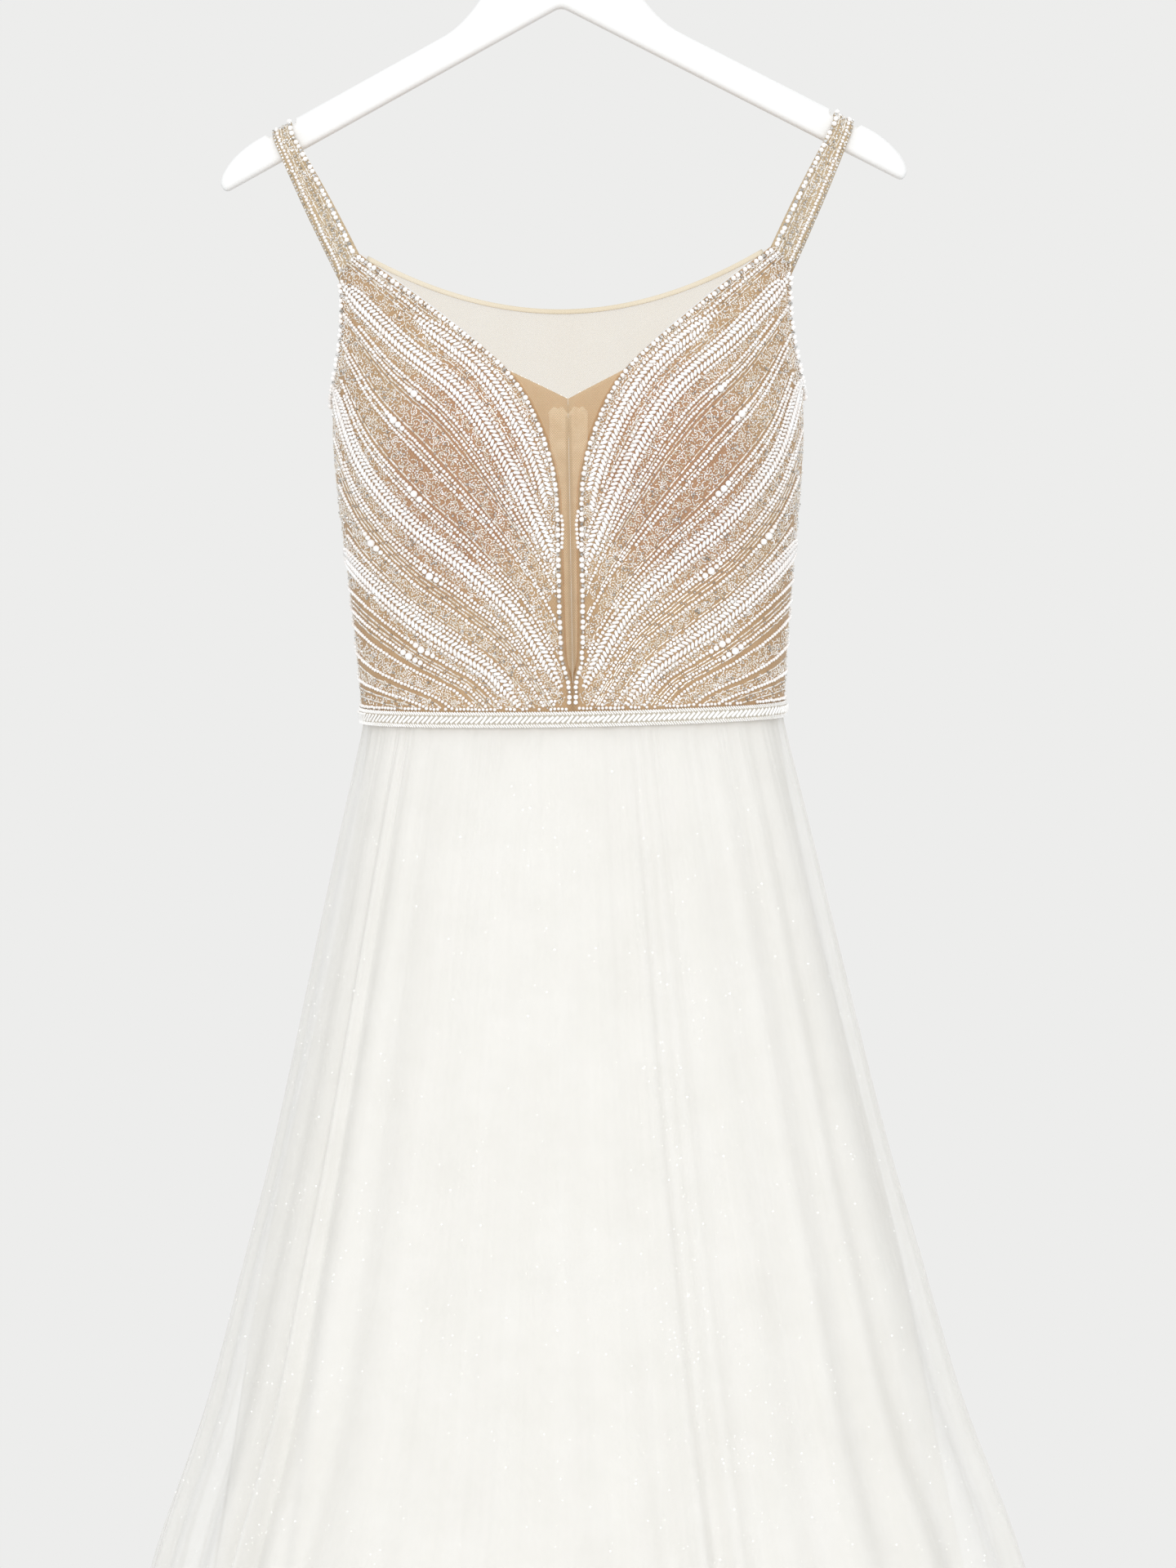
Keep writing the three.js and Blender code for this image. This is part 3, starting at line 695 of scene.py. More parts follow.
@dataclass(frozen=True)
class NetCloth(Finish):
    """An open net: threads over a ground that shows or lets light through."""

    thread: str
    threads: float
    thickness: float = 0.2
    thread_share: float = 0.5
    roughness: float = 0.8
    sheen: float = 0.2
    cover: Pair = (1.0, 1.0)
    blush: str | None = None
    relief: float = 0.35
    streaks: float = 0.0
    # The glow is painted light: emission in the cloth's own tone that stands in for light shining through it
    # and lifts its shade, though the cloth is no lamp.
    painted_glow: float = 0.0
    tone_scale: float = 38.0
    rough_scale: float = 120.0
    rough_spread: float = 0.08
    streak_stretch: Triple = (26.0, 0.9, 1.0)
    blush_place: Pair = (0.07, -0.422)
    blush_size: Pair = (0.052, 0.075)
    blush_fade: Pair = (0.25, 1.5)
    blush_most: float = 0.85

    def dress(self, nodes: Nodes, skin: Sockets) -> None:
        """Mix ground, blush and threads, and let the holes show through."""
        place = nodes.add("ShaderNodeTexCoord")
        here = place.outputs["Object"]
        drift = nodes.grouped(drift_group(), Vector=here, Scale=self.tone_scale, Low=0.0, High=1.0)
        base = nodes.mixed(drift, colour(self.low), colour(self.high))
        if self.blush:
            base = nodes.mixed(self.over_cups(nodes, here), base, colour(self.blush))
        net = nodes.grouped(
            net_group(), Vector=place.outputs["UV"], Threads=self.threads, Thickness=self.thickness
        )
        seen = nodes.math("MULTIPLY", net, self.thread_share)
        bump = nodes.add("ShaderNodeBump", {"Height": net, "Strength": self.relief, "Distance": THREAD_DEPTH})
        low, high = self.roughness - self.rough_spread, self.roughness + self.rough_spread
        nodes.feed_all(skin, {
            "Base Color": nodes.mixed(seen, base, colour(self.thread)),
            # Emission Color and Strength paint a glow of light into the cloth.
            "Emission Color": base,
            "Emission Strength": self.painted_glow,
            "Normal": bump.outputs["Normal"],
            "Roughness": nodes.grouped(
                drift_group(), Vector=here, Scale=self.rough_scale, Low=low, High=high
            ),
            "Sheen Weight": self.sheen,
            "Sheen Roughness": SHEEN_ROUGHNESS,
        })
        if self.cover != (1.0, 1.0):
            low, high = self.cover
            stretch = {"Vector": place.outputs["UV"], "Scale": self.streak_stretch}
            long = nodes.add("ShaderNodeMapping", stretch).outputs["Vector"]
            patch = nodes.grouped(
                drift_group(), Vector=long, Scale=1.0, Low=-self.streaks, High=self.streaks
            )
            alpha = nodes.math("ADD", nodes.scaled(net, 0.0, 1.0, low, high), patch)
            nodes.feed(skin["Alpha"], alpha)

    def over_cups(self, nodes: Nodes, here: NodeSocket) -> NodeSocket:
        """Mask the places where the cups lie close under the cloth.

        Args:
            nodes: The material's nodes.
            here: The place on the piece.

        Returns:
            The mask.
        """
        place = nodes.add("ShaderNodeSeparateXYZ", {0: here})
        across = nodes.math("SUBTRACT", nodes.math("ABSOLUTE", place.outputs["X"]), self.blush_place[0])
        up = nodes.math("SUBTRACT", place.outputs["Z"], self.blush_place[1])
        squares = [
            nodes.math("POWER", nodes.math("ABSOLUTE", nodes.math("DIVIDE", way, size)), 2.0)
            for way, size in zip((across, up), self.blush_size)
        ]
        near = nodes.scaled(nodes.math("ADD", *squares), *self.blush_fade, self.blush_most, 0.0)
        return nodes.math("MULTIPLY", near, nodes.math("LESS_THAN", place.outputs["Y"], 0.0))


@dataclass(frozen=True)
class WovenCloth(Finish):
    """A closed plain weave."""

    threads: float = 1600.0
    roughness: float = 0.7
    sheen: float = 0.3
    relief: float = 0.3
    # The glow is painted light: emission in the low tone that stands in for light shining through the cloth
    # and lifts its shade.
    painted_glow: float = 0.0
    patch: float = 11.0
    slub: float = 0.5
    weave_share: float = 0.15
    rough_scale: float = 70.0
    rough_spread: float = 0.07

    def dress(self, nodes: Nodes, skin: Sockets) -> None:
        """Drift between two tones over a fine weave."""
        place = nodes.add("ShaderNodeTexCoord")
        here = place.outputs["Object"]
        weave = nodes.grouped(
            weave_group(), Vector=place.outputs["UV"], Threads=self.threads, Slub=self.slub
        )
        # The drift between the two tones is the cloth's uneven tone; on the zip tape, with its fine scale and
        # wide spread, it is painted shade of the crumples.
        drift = nodes.grouped(drift_group(), Vector=here, Scale=self.patch, Low=0.0, High=0.8)
        share = nodes.math("ADD", drift, nodes.math("MULTIPLY", weave, self.weave_share))
        low, high = self.roughness - self.rough_spread, self.roughness + self.rough_spread
        bump = nodes.add(
            "ShaderNodeBump", {"Height": weave, "Strength": self.relief, "Distance": THREAD_DEPTH}
        )
        nodes.feed_all(skin, {
            "Base Color": nodes.mixed(share, colour(self.low), colour(self.high)),
            # Emission paints a glow of light into the cloth.
            "Emission Color": colour(self.low),
            "Emission Strength": self.painted_glow,
            "Roughness": nodes.grouped(
                drift_group(), Vector=here, Scale=self.rough_scale, Low=low, High=high
            ),
            "Normal": bump.outputs["Normal"],
            "Sheen Weight": self.sheen,
            "Sheen Roughness": SHEEN_ROUGHNESS,
        })


@dataclass(frozen=True)
class BeadGlaze(Finish):
    """The glaze of beads, which differs a little from bead to bead; on silver beads the spread from grey to
    white is painted reflection on their facets.
    """

    metallic: float = 0.0
    roughness: float = 0.2
    coat: float = 0.4
    grain: float = 320.0
    # The glow is painted light: emission that brightens the beads as a painted highlight, though they are no
    # lamps.
    painted_glow: float = 0.0

    def dress(self, nodes: Nodes, skin: Sockets) -> None:
        """Pick a tone for each small cell of space."""
        place = nodes.add("ShaderNodeTexCoord")
        cells = nodes.add("ShaderNodeTexVoronoi", {"Vector": place.outputs["Object"], "Scale": self.grain})
        tone = nodes.add("ShaderNodeSeparateColor", {0: cells.outputs["Color"]})
        # On the silver glaze the cells' spread from grey to white is painted reflection: dark and bright
        # facets.
        shade = nodes.mixed(tone.outputs[0], colour(self.low), colour(self.high))
        rough = nodes.scaled(tone.outputs[1], 0.0, 1.0, 0.6 * self.roughness, 1.4 * self.roughness)
        nodes.feed_all(skin, {
            "Base Color": shade,
            # Emission paints a glow of light onto the beads.
            "Emission Color": shade,
            "Emission Strength": self.painted_glow,
            "Roughness": rough,
            "Metallic": self.metallic,
            "Coat Weight": self.coat,
            "Coat Roughness": 0.08,
        })


@dataclass(frozen=True)
class HardFinish(Finish):
    """Paint or metal with a fine grain."""

    metallic: float = 0.0
    roughness: float = 0.3
    coat: float = 0.0
    grain: Triple = (60.0, 60.0, 60.0)
    relief: float = 0.1

    def dress(self, nodes: Nodes, skin: Sockets) -> None:
        """Lay a stretched grain over two tones."""
        place = nodes.add("ShaderNodeTexCoord")
        here = place.outputs["Object"]
        drift = nodes.grouped(drift_group(), Vector=here, Scale=14.0, Low=0.0, High=1.0)
        shade = nodes.mixed(drift, colour(self.low), colour(self.high))
        stretched = nodes.add("ShaderNodeMapping", {"Vector": here, "Scale": self.grain})
        grain = nodes.add(
            "ShaderNodeTexNoise", {"Vector": stretched.outputs["Vector"], "Scale": 1.0, "Detail": 5.0}
        )
        rough = nodes.scaled(grain.outputs["Fac"], 0.25, 0.75, 0.75 * self.roughness, 1.3 * self.roughness)
        bump = nodes.add(
            "ShaderNodeBump", {"Height": grain.outputs["Fac"], "Strength": self.relief, "Distance": 0.0004}
        )
        nodes.feed_all(skin, {
            "Base Color": shade,
            "Roughness": rough,
            "Normal": bump.outputs["Normal"],
            "Metallic": self.metallic,
            "Coat Weight": self.coat,
            "Coat Roughness": 0.12,
        })


WHITE_PAINT = HardFinish(
    "white_paint", "#F1F1F0", "#F8F8F7", roughness=0.3, coat=0.35, grain=(240.0, 900.0, 240.0)
)
BRIGHT_WIRE = HardFinish(
    "bright_wire", "#B9BBBD", "#D6D8D9",
    metallic=1.0, roughness=0.2, grain=(500.0, 3000.0, 500.0), relief=0.05,
)
ZIP_METAL = HardFinish(
    "zip_enamel", "#DFC69E", "#EAD7B6", roughness=0.35, coat=0.3, grain=(800.0, 800.0, 800.0)
)
FLOOR_PAINT = HardFinish("floor_paint", "#E2E3E3", "#E4E5E5", roughness=0.75)
NUDE_NET = NetCloth("nude_net", "#B28E68", "#BF9F7A", "#D2B894", 620.0, blush="#AF7F60")
# The lining's glow is painted light: it stands in for light that shines through the sheer cloth and lights
# the inside of the bodice.
NUDE_LINING = NetCloth("nude_lining", "#BF9F78", "#C8AB87", "#D0B796", 700.0, thread_share=0.35, painted_glow=0.3)
STRAP_NET = NetCloth("strap_net", "#BFA57F", "#CCB694", "#DCCAAD", 620.0)
SHEER_NET = NetCloth(
    "sheer_net", "#DCC7A2", "#E4D2B2", "#EADCC2", 900.0,
    thickness=0.26, cover=(0.16, 0.5), sheen=0.1, streaks=0.02,
)
# The skirt layers' small glow is painted light that lifts the shade in their folds.
SKIRT_TULLE = NetCloth(
    "skirt_tulle", "#F1F0EC", "#F8F7F4", "#FDFCFA", 1500.0,
    thickness=0.26, cover=(0.34, 0.7), sheen=0.3, relief=0.06, streaks=0.04, painted_glow=0.03,
)
UNDERSKIRT_SATIN = WovenCloth(
    "underskirt_satin", "#EDEAE3", "#F5F3EE", roughness=0.55, sheen=0.4, painted_glow=0.03
)
BINDING_CLOTH = WovenCloth("binding_cloth", "#E1D2B6", "#ECE1CC", threads=1200.0)
# The tape's glow is painted light shining through it; its wide spread of tones over a fine drift paints the
# shade of its crumples.
TAPE_CLOTH = WovenCloth(
    "tape_cloth", "#CDB28F", "#EBDCC2", threads=900.0, relief=0.5, painted_glow=0.3, patch=130.0
)
CUP_COVER = WovenCloth("cup_cover", "#D5AA8C", "#DFB999", threads=1100.0, roughness=0.85)
# The belt cloth's grey tones are painted shade in the gaps between the bugles, and its glow is painted light.
BELT_CLOTH = WovenCloth("belt_cloth", "#B2AA9C", "#C2BAAD", threads=1100.0, painted_glow=0.08)
# The beads' glow is painted light: emission that brightens pearls and glass as a painted highlight.
PEARL = BeadGlaze("pearl", "#F8F3EF", "#FFFFFF", roughness=0.22, coat=0.5, grain=150.0, painted_glow=0.09)
CLEAR_GLASS = BeadGlaze(
    "clear_glass", "#E2D7C4", "#FFFFFF", metallic=0.1, roughness=0.14, coat=0.8, grain=420.0, painted_glow=0.04
)
BELT_GLASS = BeadGlaze(
    "belt_glass", "#F6F4F0", "#FFFFFF", roughness=0.25, coat=0.6, grain=420.0, painted_glow=0.1
)
# The silver glaze's grey-to-white tones are painted reflections: some facets dark, most bright.
SILVER = BeadGlaze("silver", "#A39D94", "#FFFFFF", metallic=0.5, roughness=0.12, coat=0.6, grain=620.0)
# The glitter's glow is painted light: emission that makes the flakes sparkle as painted glints.
GLITTER = BeadGlaze(
    "glitter", "#F4F2EC", "#FFFFFF", metallic=0.5, roughness=0.12, coat=0.6, grain=700.0, painted_glow=0.25
)


# Beads

class BeadShape(Enum):
    """The shapes of bead, each one unit across, long along its first axis and outwards on its third."""

    PEARL = "large round pearl"
    SEED = "small round pearl"
    GRAIN = "tiny round seed"
    RICE = "long bead with rounded ends"
    TUBE = "cut glass tube"
    CRYSTAL = "faceted stone"
    FLAKE = "glitter flake"


@dataclass(frozen=True)
class BeadMould:
    """The points and faces of one bead."""

    points: Array
    faces: list[list[int]]
    smooth: bool


def stacked_mould(
    rings: Sequence[Pair], sides: int, smooth: bool, lying: bool = False
) -> BeadMould:
    """Make a closed form of rings round the third axis.

    Args:
        rings: Radius and height of each ring from the bottom, a radius of 0 making a point.
        sides: How many sides it has.
        smooth: Whether it is shaded smooth.
        lying: Whether it is turned to lie along the first axis.

    Returns:
        The mould.
    """
    points: list[Triple] = []
    loops: list[list[int]] = []
    for radius, height in rings:
        count = sides if radius > 0 else 1
        loops.append(list(range(len(points), len(points) + count)))
        turns = [2 * math.pi * i / sides for i in range(count)]
        points += [(radius * math.cos(turn), radius * math.sin(turn), height) for turn in turns]
    faces = [loops[0][::-1]] if len(loops[0]) > 1 else []
    for low, high in zip(loops, loops[1:]):
        for i in range(sides):
            j = (i + 1) % sides
            ring = [low[i % len(low)], low[j % len(low)], high[j % len(high)], high[i % len(high)]]
            faces.append(list(dict.fromkeys(ring)))
    if len(loops[-1]) > 1:
        faces.append(loops[-1])
    return BeadMould(np.array(points)[:, [2, 0, 1] if lying else [0, 1, 2]], faces, smooth)


def ball_rings(steps: int) -> list[Pair]:
    """Give the rings of a ball of diameter 1."""
    turns = [math.pi * i / steps for i in range(1, steps)]
    return [(0.0, -0.5), *((0.5 * math.sin(turn), -0.5 * math.cos(turn)) for turn in turns), (0.0, 0.5)]


MOULDS = {
    BeadShape.PEARL: stacked_mould(ball_rings(4), 8, True),
    BeadShape.SEED: stacked_mould(ball_rings(3), 7, True),
    BeadShape.GRAIN: stacked_mould(ball_rings(2), 6, True),
    BeadShape.RICE: stacked_mould(((0, -0.5), (0.5, -0.27), (0.5, 0.27), (0, 0.5)), 5, True, lying=True),
    BeadShape.TUBE: stacked_mould(((0.5, -0.5), (0.5, 0.5)), 5, False, lying=True),
    BeadShape.CRYSTAL: stacked_mould(((0.5, -0.25), (0.3, 0.3)), 6, False),
    BeadShape.FLAKE: stacked_mould(((0.0, -0.06), (0.5, 0.0), (0.0, 0.06)), 4, False),
}


@dataclass
class BeadTray:
    """Beads of one glaze that are sewn on as one piece."""

    beads: dict[BeadShape, list[Array]] = field(default_factory=dict)

    def lay(self, shape: BeadShape, centre: Array, tangent: Array, normal: Array, size: Array) -> None:
        """Lay one bead at its centre, by the ways of its length and out of the cloth, and its three sizes."""
        self.beads.setdefault(shape, []).append(np.concatenate((centre, tangent, normal, size)))

    def piece(self, name: str) -> Object:
        """Make the piece of all its beads.

        Args:
            name: The piece's name.

        Returns:
            The object.
        """
        parts: list[tuple[Array, Array, Array, Array]] = []
        first = 0
        for shape, laid in self.beads.items():
            mould, rows = MOULDS[shape], np.array(laid)
            count, corners = len(rows), len(mould.points)
            tangent = unit(rows[:, 3:6])
            side = unit(np.cross(rows[:, 6:9], tangent))
            normal = np.cross(tangent, side)
            axes = np.stack((tangent, side, normal), axis=1) * rows[:, 9:12, None]
            points = rows[:, None, 0:3] + np.einsum("pk,nkc->npc", mould.points, axes)
            offsets = first + corners * np.arange(count)[:, None]
            loops = offsets + np.concatenate(mould.faces)[None, :]
            sizes = np.tile([len(face) for face in mould.faces], count)
            parts.append((points.reshape(-1, 3), loops.ravel(), sizes, np.full(len(sizes), mould.smooth)))
            first += count * corners
        points, loops, sizes, smooth = (np.concatenate(column) for column in zip(*parts))
        return link(name, make_mesh(name, points, loops, sizes, smooth))


@dataclass
class Thread:
    """A sewing line on the cloth, by its points and outward normals."""

    points: Array
    normals: Array
    tangent_step: float = 0.6

    def __post_init__(self) -> None:
        """Measure the line."""
        steps = np.linalg.norm(np.diff(self.points, axis=0), axis=1)
        self.reach = np.concatenate(((0.0,), np.cumsum(steps + 1e-9)))

    def frames(self, places: Array, aside: Array | float = 0.0) -> tuple[Array, Array, Array]:
        """Find where beads go.

        Args:
            places: Distances along the line.
            aside: Distance to its left.

        Returns:
            Points, tangents and normals.
        """
        def read(values: Array, at: Array) -> Array:
            """Read values at distances along the line."""
            return np.stack([np.interp(at, self.reach, values[:, k]) for k in range(3)], axis=1)

        normals = unit(read(self.normals, places))
        ahead, behind = places + self.tangent_step, places - self.tangent_step
        tangents = unit(read(self.points, ahead) - read(self.points, behind))
        points = read(self.points, places) + np.asarray(aside)[..., None] * np.cross(normals, tangents)
        return points, tangents, normals


class Stitch(Enum):
    """How a line of beads is sewn."""

    BAND = "two slanted rows of long white beads between pearls"
    PEARLS = "one string of pearls"
    BIG_PEARLS = "a string of pearls that swells midway"
    DASHES = "three glass tubes and a crystal in turn"
    EDGE = "two pearls and a crystal in turn"
    STONES = "crystals and tiny seeds in turn"


Bead = tuple[BeadGlaze, BeadShape, float, float]
SMALL_PEARL: Bead = (PEARL, BeadShape.SEED, 2.6, 2.6)
EDGE_PEARL: Bead = (PEARL, BeadShape.PEARL, 3.6, 3.6)
GLASS_DASH: Bead = (CLEAR_GLASS, BeadShape.TUBE, 2.8, 1.2)
GLASS_SEED: Bead = (CLEAR_GLASS, BeadShape.GRAIN, 1.7, 1.7)
# The beads of a string in turn, and the room between two
STRINGS = {
    Stitch.PEARLS: ((SMALL_PEARL,), 0.1),
    Stitch.EDGE: ((EDGE_PEARL, EDGE_PEARL, (SILVER, BeadShape.CRYSTAL, 3.0, 3.0)), 0.1),
    Stitch.DASHES: ((GLASS_DASH, GLASS_DASH, GLASS_DASH, (SILVER, BeadShape.CRYSTAL, 1.7, 1.7)), 0.4),
    Stitch.STONES: (((SILVER, BeadShape.CRYSTAL, 2.2, 2.2), GLASS_SEED), 0.3),
}
BEAD_SLOTS = {PEARL: "pearl_beads", CLEAR_GLASS: "glass_beads", SILVER: "silver_beads"}


@dataclass
class BeadWork:
    """The beads of one panel or strap, sewn line by line where earlier lines leave room."""

    name: str
    seed: int
    cell: float = 6.0
    closeness: float = 0.9
    round_reach: float = 0.3
    sunk: float = 0.25
    size_range: Pair = (0.86, 1.04)
    wander: float = 0.14
    string_pitch: float = 2.7
    swell: tuple[float, ...] = (3.4, 4.2, 5.2, 4.6, 3.6)
    swell_place: Pair = (0.2, 0.75)
    band_lean: float = math.radians(48)
    band_jitter: float = 0.07
    band_rows: tuple[tuple[float, float, BeadShape, float, float], ...] = (
        (3.05, 2.2, BeadShape.RICE, 5.7, 2.3), (2.8, 5.9, BeadShape.SEED, 2.7, 2.7)
    )
    band_end: float = 1.5
    taper_start: float = 0.3
    taper_length: float = 30.0
    grain_size: Pair = (1.2, 1.7)
    crystal_extra: float = 0.4
    curl_share: float = 0.5
    grain_share: float = 0.34
    curl_radius: Pair = (1.7, 2.4)
    curl_tubes: int = 4
    curl_step: float = 1.9
    curl_tube: Pair = (1.6, 0.8)

    def __post_init__(self) -> None:
        """Start with bare cloth."""
        self.chance = np.random.default_rng(self.seed)
        self.trays = {glaze: BeadTray() for glaze in BEAD_SLOTS}
        self.taken: dict[tuple[int, ...], list[tuple[float, ...]]] = {}
        self.waiting: list[tuple[float, ...]] = []

    def is_free(self, spots: list[tuple[float, ...]]) -> bool:
        """Say whether a bead would have room.

        Args:
            spots: Balls that fill the bead, as x, y, z and radius.

        Returns:
            Whether no sewn bead is in the way.
        """
        for x, y, z, radius in spots:
            home = [int(value // self.cell) for value in (x, y, z)]
            for cell in product(*((i - 1, i, i + 1) for i in home)):
                for ax, ay, az, other in self.taken.get(cell, ()):
                    gap = self.closeness * (radius + other)
                    if (x - ax) ** 2 + (y - ay) ** 2 + (z - az) ** 2 < gap * gap:
                        return False
        return True

    def settle(self) -> None:
        """Keep the room of the beads that were just sewn."""
        for spot in self.waiting:
            cell = tuple(int(value // self.cell) for value in spot[:3])
            self.taken.setdefault(cell, []).append(spot)
        self.waiting = []

    def sew(
        self, glaze: BeadGlaze, shape: BeadShape, point: Array, tangent: Array, normal: Array,
        length: float, width: float,
    ) -> None:
        """Sew one bead on if there is room.

        Args:
            glaze: Its glaze.
            shape: Its shape.
            point: Its place on the cloth.
            tangent: The way of its length.
            normal: The way out of the cloth.
            length: Its length.
            width: Its width.
        """
        centre = point + normal * (0.5 * width - self.sunk)
        reach = max(length - width, 0.0) / 2
        ends = (-reach, 0.0, reach) if reach > self.round_reach else (0.0,)
        spots = [(*(centre + tangent * end), width / 2) for end in ends]
        if self.is_free(spots):
            self.waiting += spots
            size = np.array((length, width, width))
            self.trays[glaze].lay(shape, centre, tangent, normal, size)

    def string(self, thread: Thread, beads: Sequence[Bead], gap: float) -> None:
        """Sew a repeating string of beads along a line, a little uneven in size and place.

        Args:
            thread: The line.
            beads: Glaze, shape, length and width of the beads in turn.
            gap: Room between two beads.
        """
        places, kinds, place, turn = [], [], 0.0, 0
        while True:
            glaze, shape, length, width = beads[turn % len(beads)]
            share = self.chance.uniform(*self.size_range)
            if place + length * share > thread.reach[-1]:
                break
            places.append(place + length * share / 2)
            kinds.append((glaze, shape, length * share, width * share))
            place += length * share + gap
            turn += 1
        if places:
            aside = self.chance.normal(0, self.wander, len(places))
            for *seat, (glaze, shape, *size) in zip(*thread.frames(np.array(places), aside), kinds):
                self.sew(glaze, shape, *seat, *size)
        self.settle()

    def sew_line(self, thread: Thread, stitch: Stitch) -> None:
        """Sew one line.

        Args:
            thread: The line.
            stitch: How it is sewn.
        """
        if stitch is Stitch.BAND:
            self.sew_band(thread)
        elif stitch is Stitch.BIG_PEARLS:
            self.sew_swell(thread)
        else:
            self.string(thread, *STRINGS[stitch])

    def sew_swell(self, thread: Thread) -> None:
        """Sew a string of small pearls with a few large ones somewhere along it."""
        count = max(int(thread.reach[-1] / self.string_pitch), 1)
        first = int(count * self.chance.uniform(*self.swell_place)) - len(self.swell) // 2
        large = {first + i: size for i, size in enumerate(self.swell)}
        beads = [
            (PEARL, BeadShape.PEARL, large[i], large[i]) if i in large else SMALL_PEARL
            for i in range(count)
        ]
        self.string(thread, beads, STRINGS[Stitch.PEARLS][1])

    def sew_band(self, thread: Thread) -> None:
        """Sew long beads aslant in two rows, with a string of pearls on either side."""
        reach, start = thread.reach[-1], self.taper_start
        for step, beside, shape, length, width in self.band_rows:
            places = np.arange(self.band_end, reach - self.band_end, step)
            taper = np.clip(start + np.minimum(places, reach - places) / self.taper_length, start, 1.0)
            for way in (1, -1):
                leans = self.chance.normal(self.band_lean, self.band_jitter, len(places))
                for point, tangent, normal, size, tilt in zip(
                    *thread.frames(places, way * beside * taper), taper, leans
                ):
                    slant = math.cos(tilt) * tangent + way * math.sin(tilt) * np.cross(normal, tangent)
                    self.sew(PEARL, shape, point, slant, normal, max(length * size, width), width)
            self.settle()

    def scatter(self, points: Array, normals: Array) -> None:
        """Sew curls of glass tubes, seeds and crystals in all directions wherever there is room.

        Args:
            points: Places on the cloth to try.
            normals: The outward normals there.
        """
        kinds = self.chance.random(len(points))
        turns = self.chance.uniform(0, 2 * math.pi, len(points))
        sizes = self.chance.uniform(*self.grain_size, len(points))
        for point, normal, kind, turn, size in zip(points, normals, kinds, turns, sizes):
            first = unit(np.cross(normal, (0.3, 0.2, 1.0)))
            tangent = math.cos(turn) * first + math.sin(turn) * np.cross(normal, first)
            if kind < self.curl_share:
                self.curl(point, tangent, normal)
            elif kind < self.curl_share + self.grain_share:
                self.sew(CLEAR_GLASS, BeadShape.GRAIN, point, tangent, normal, size, size)
            else:
                wide = size + self.crystal_extra
                self.sew(SILVER, BeadShape.CRYSTAL, point, tangent, normal, wide, wide)
            self.settle()

    def curl(self, point: Array, tangent: Array, normal: Array) -> None:
        """Sew short tubes round a place, as an open loop.

        Args:
            point: The middle of the loop.
            tangent: The way to its first tube.
            normal: The way out of the cloth.
        """
        radius = self.chance.uniform(*self.curl_radius)
        side = np.cross(normal, tangent)
        for turn in np.arange(self.curl_tubes) * self.curl_step / radius:
            spoke = math.cos(turn) * tangent + math.sin(turn) * side
            along = math.cos(turn) * side - math.sin(turn) * tangent
            self.sew(CLEAR_GLASS, BeadShape.TUBE, point + radius * spoke, along, normal, *self.curl_tube)

    def pieces(self) -> list[Object]:
        """Make the pieces of all the beads that were sewn.

        Returns:
            One piece for each glaze.
        """
        return [
            adopt(tray.piece(f"{self.name}_{glaze.name}"), [glaze])
            for glaze, tray in self.trays.items()
            if tray.beads
        ]


@dataclass(frozen=True)
class BeadPlan:
    """Where beads go on a panel: guide lines from the side to the middle, neck edge first."""

    guides: tuple[tuple[Pair, ...], ...]
    lines: dict[Stitch, tuple[Triple, ...]]
    patches: tuple[tuple[float, float, float, float, int], ...]

    def place(self, across: Array, along: Array) -> Arrays:
        """Find places between the guides.

        Args:
            across: Which guide, and how far to the next.
            along: Share of the guides' length.

        Returns:
            Widths from the middle and heights.
        """
        table = np.array(self.guides)

        def weights(place: Array, count: int) -> list[Arrays]:
            """Give the numbers and weights of the four points next to each place."""
            low = np.clip(np.floor(place).astype(int), 0, count - 2)
            t = place - low
            shares = (
                (-t + 2 * t**2 - t**3) / 2,
                (2 - 5 * t**2 + 3 * t**3) / 2,
                (t + 4 * t**2 - 3 * t**3) / 2,
                (t**3 - t**2) / 2,
            )
            return [(np.clip(low + k - 1, 0, count - 1), share) for k, share in enumerate(shares)]

        total = np.zeros((len(across), 2))
        for i, first in weights(across, table.shape[0]):
            for j, second in weights(along * (table.shape[1] - 1), table.shape[1]):
                total += (first * second)[:, None] * table[i, j]
        return total[:, 0], total[:, 1]


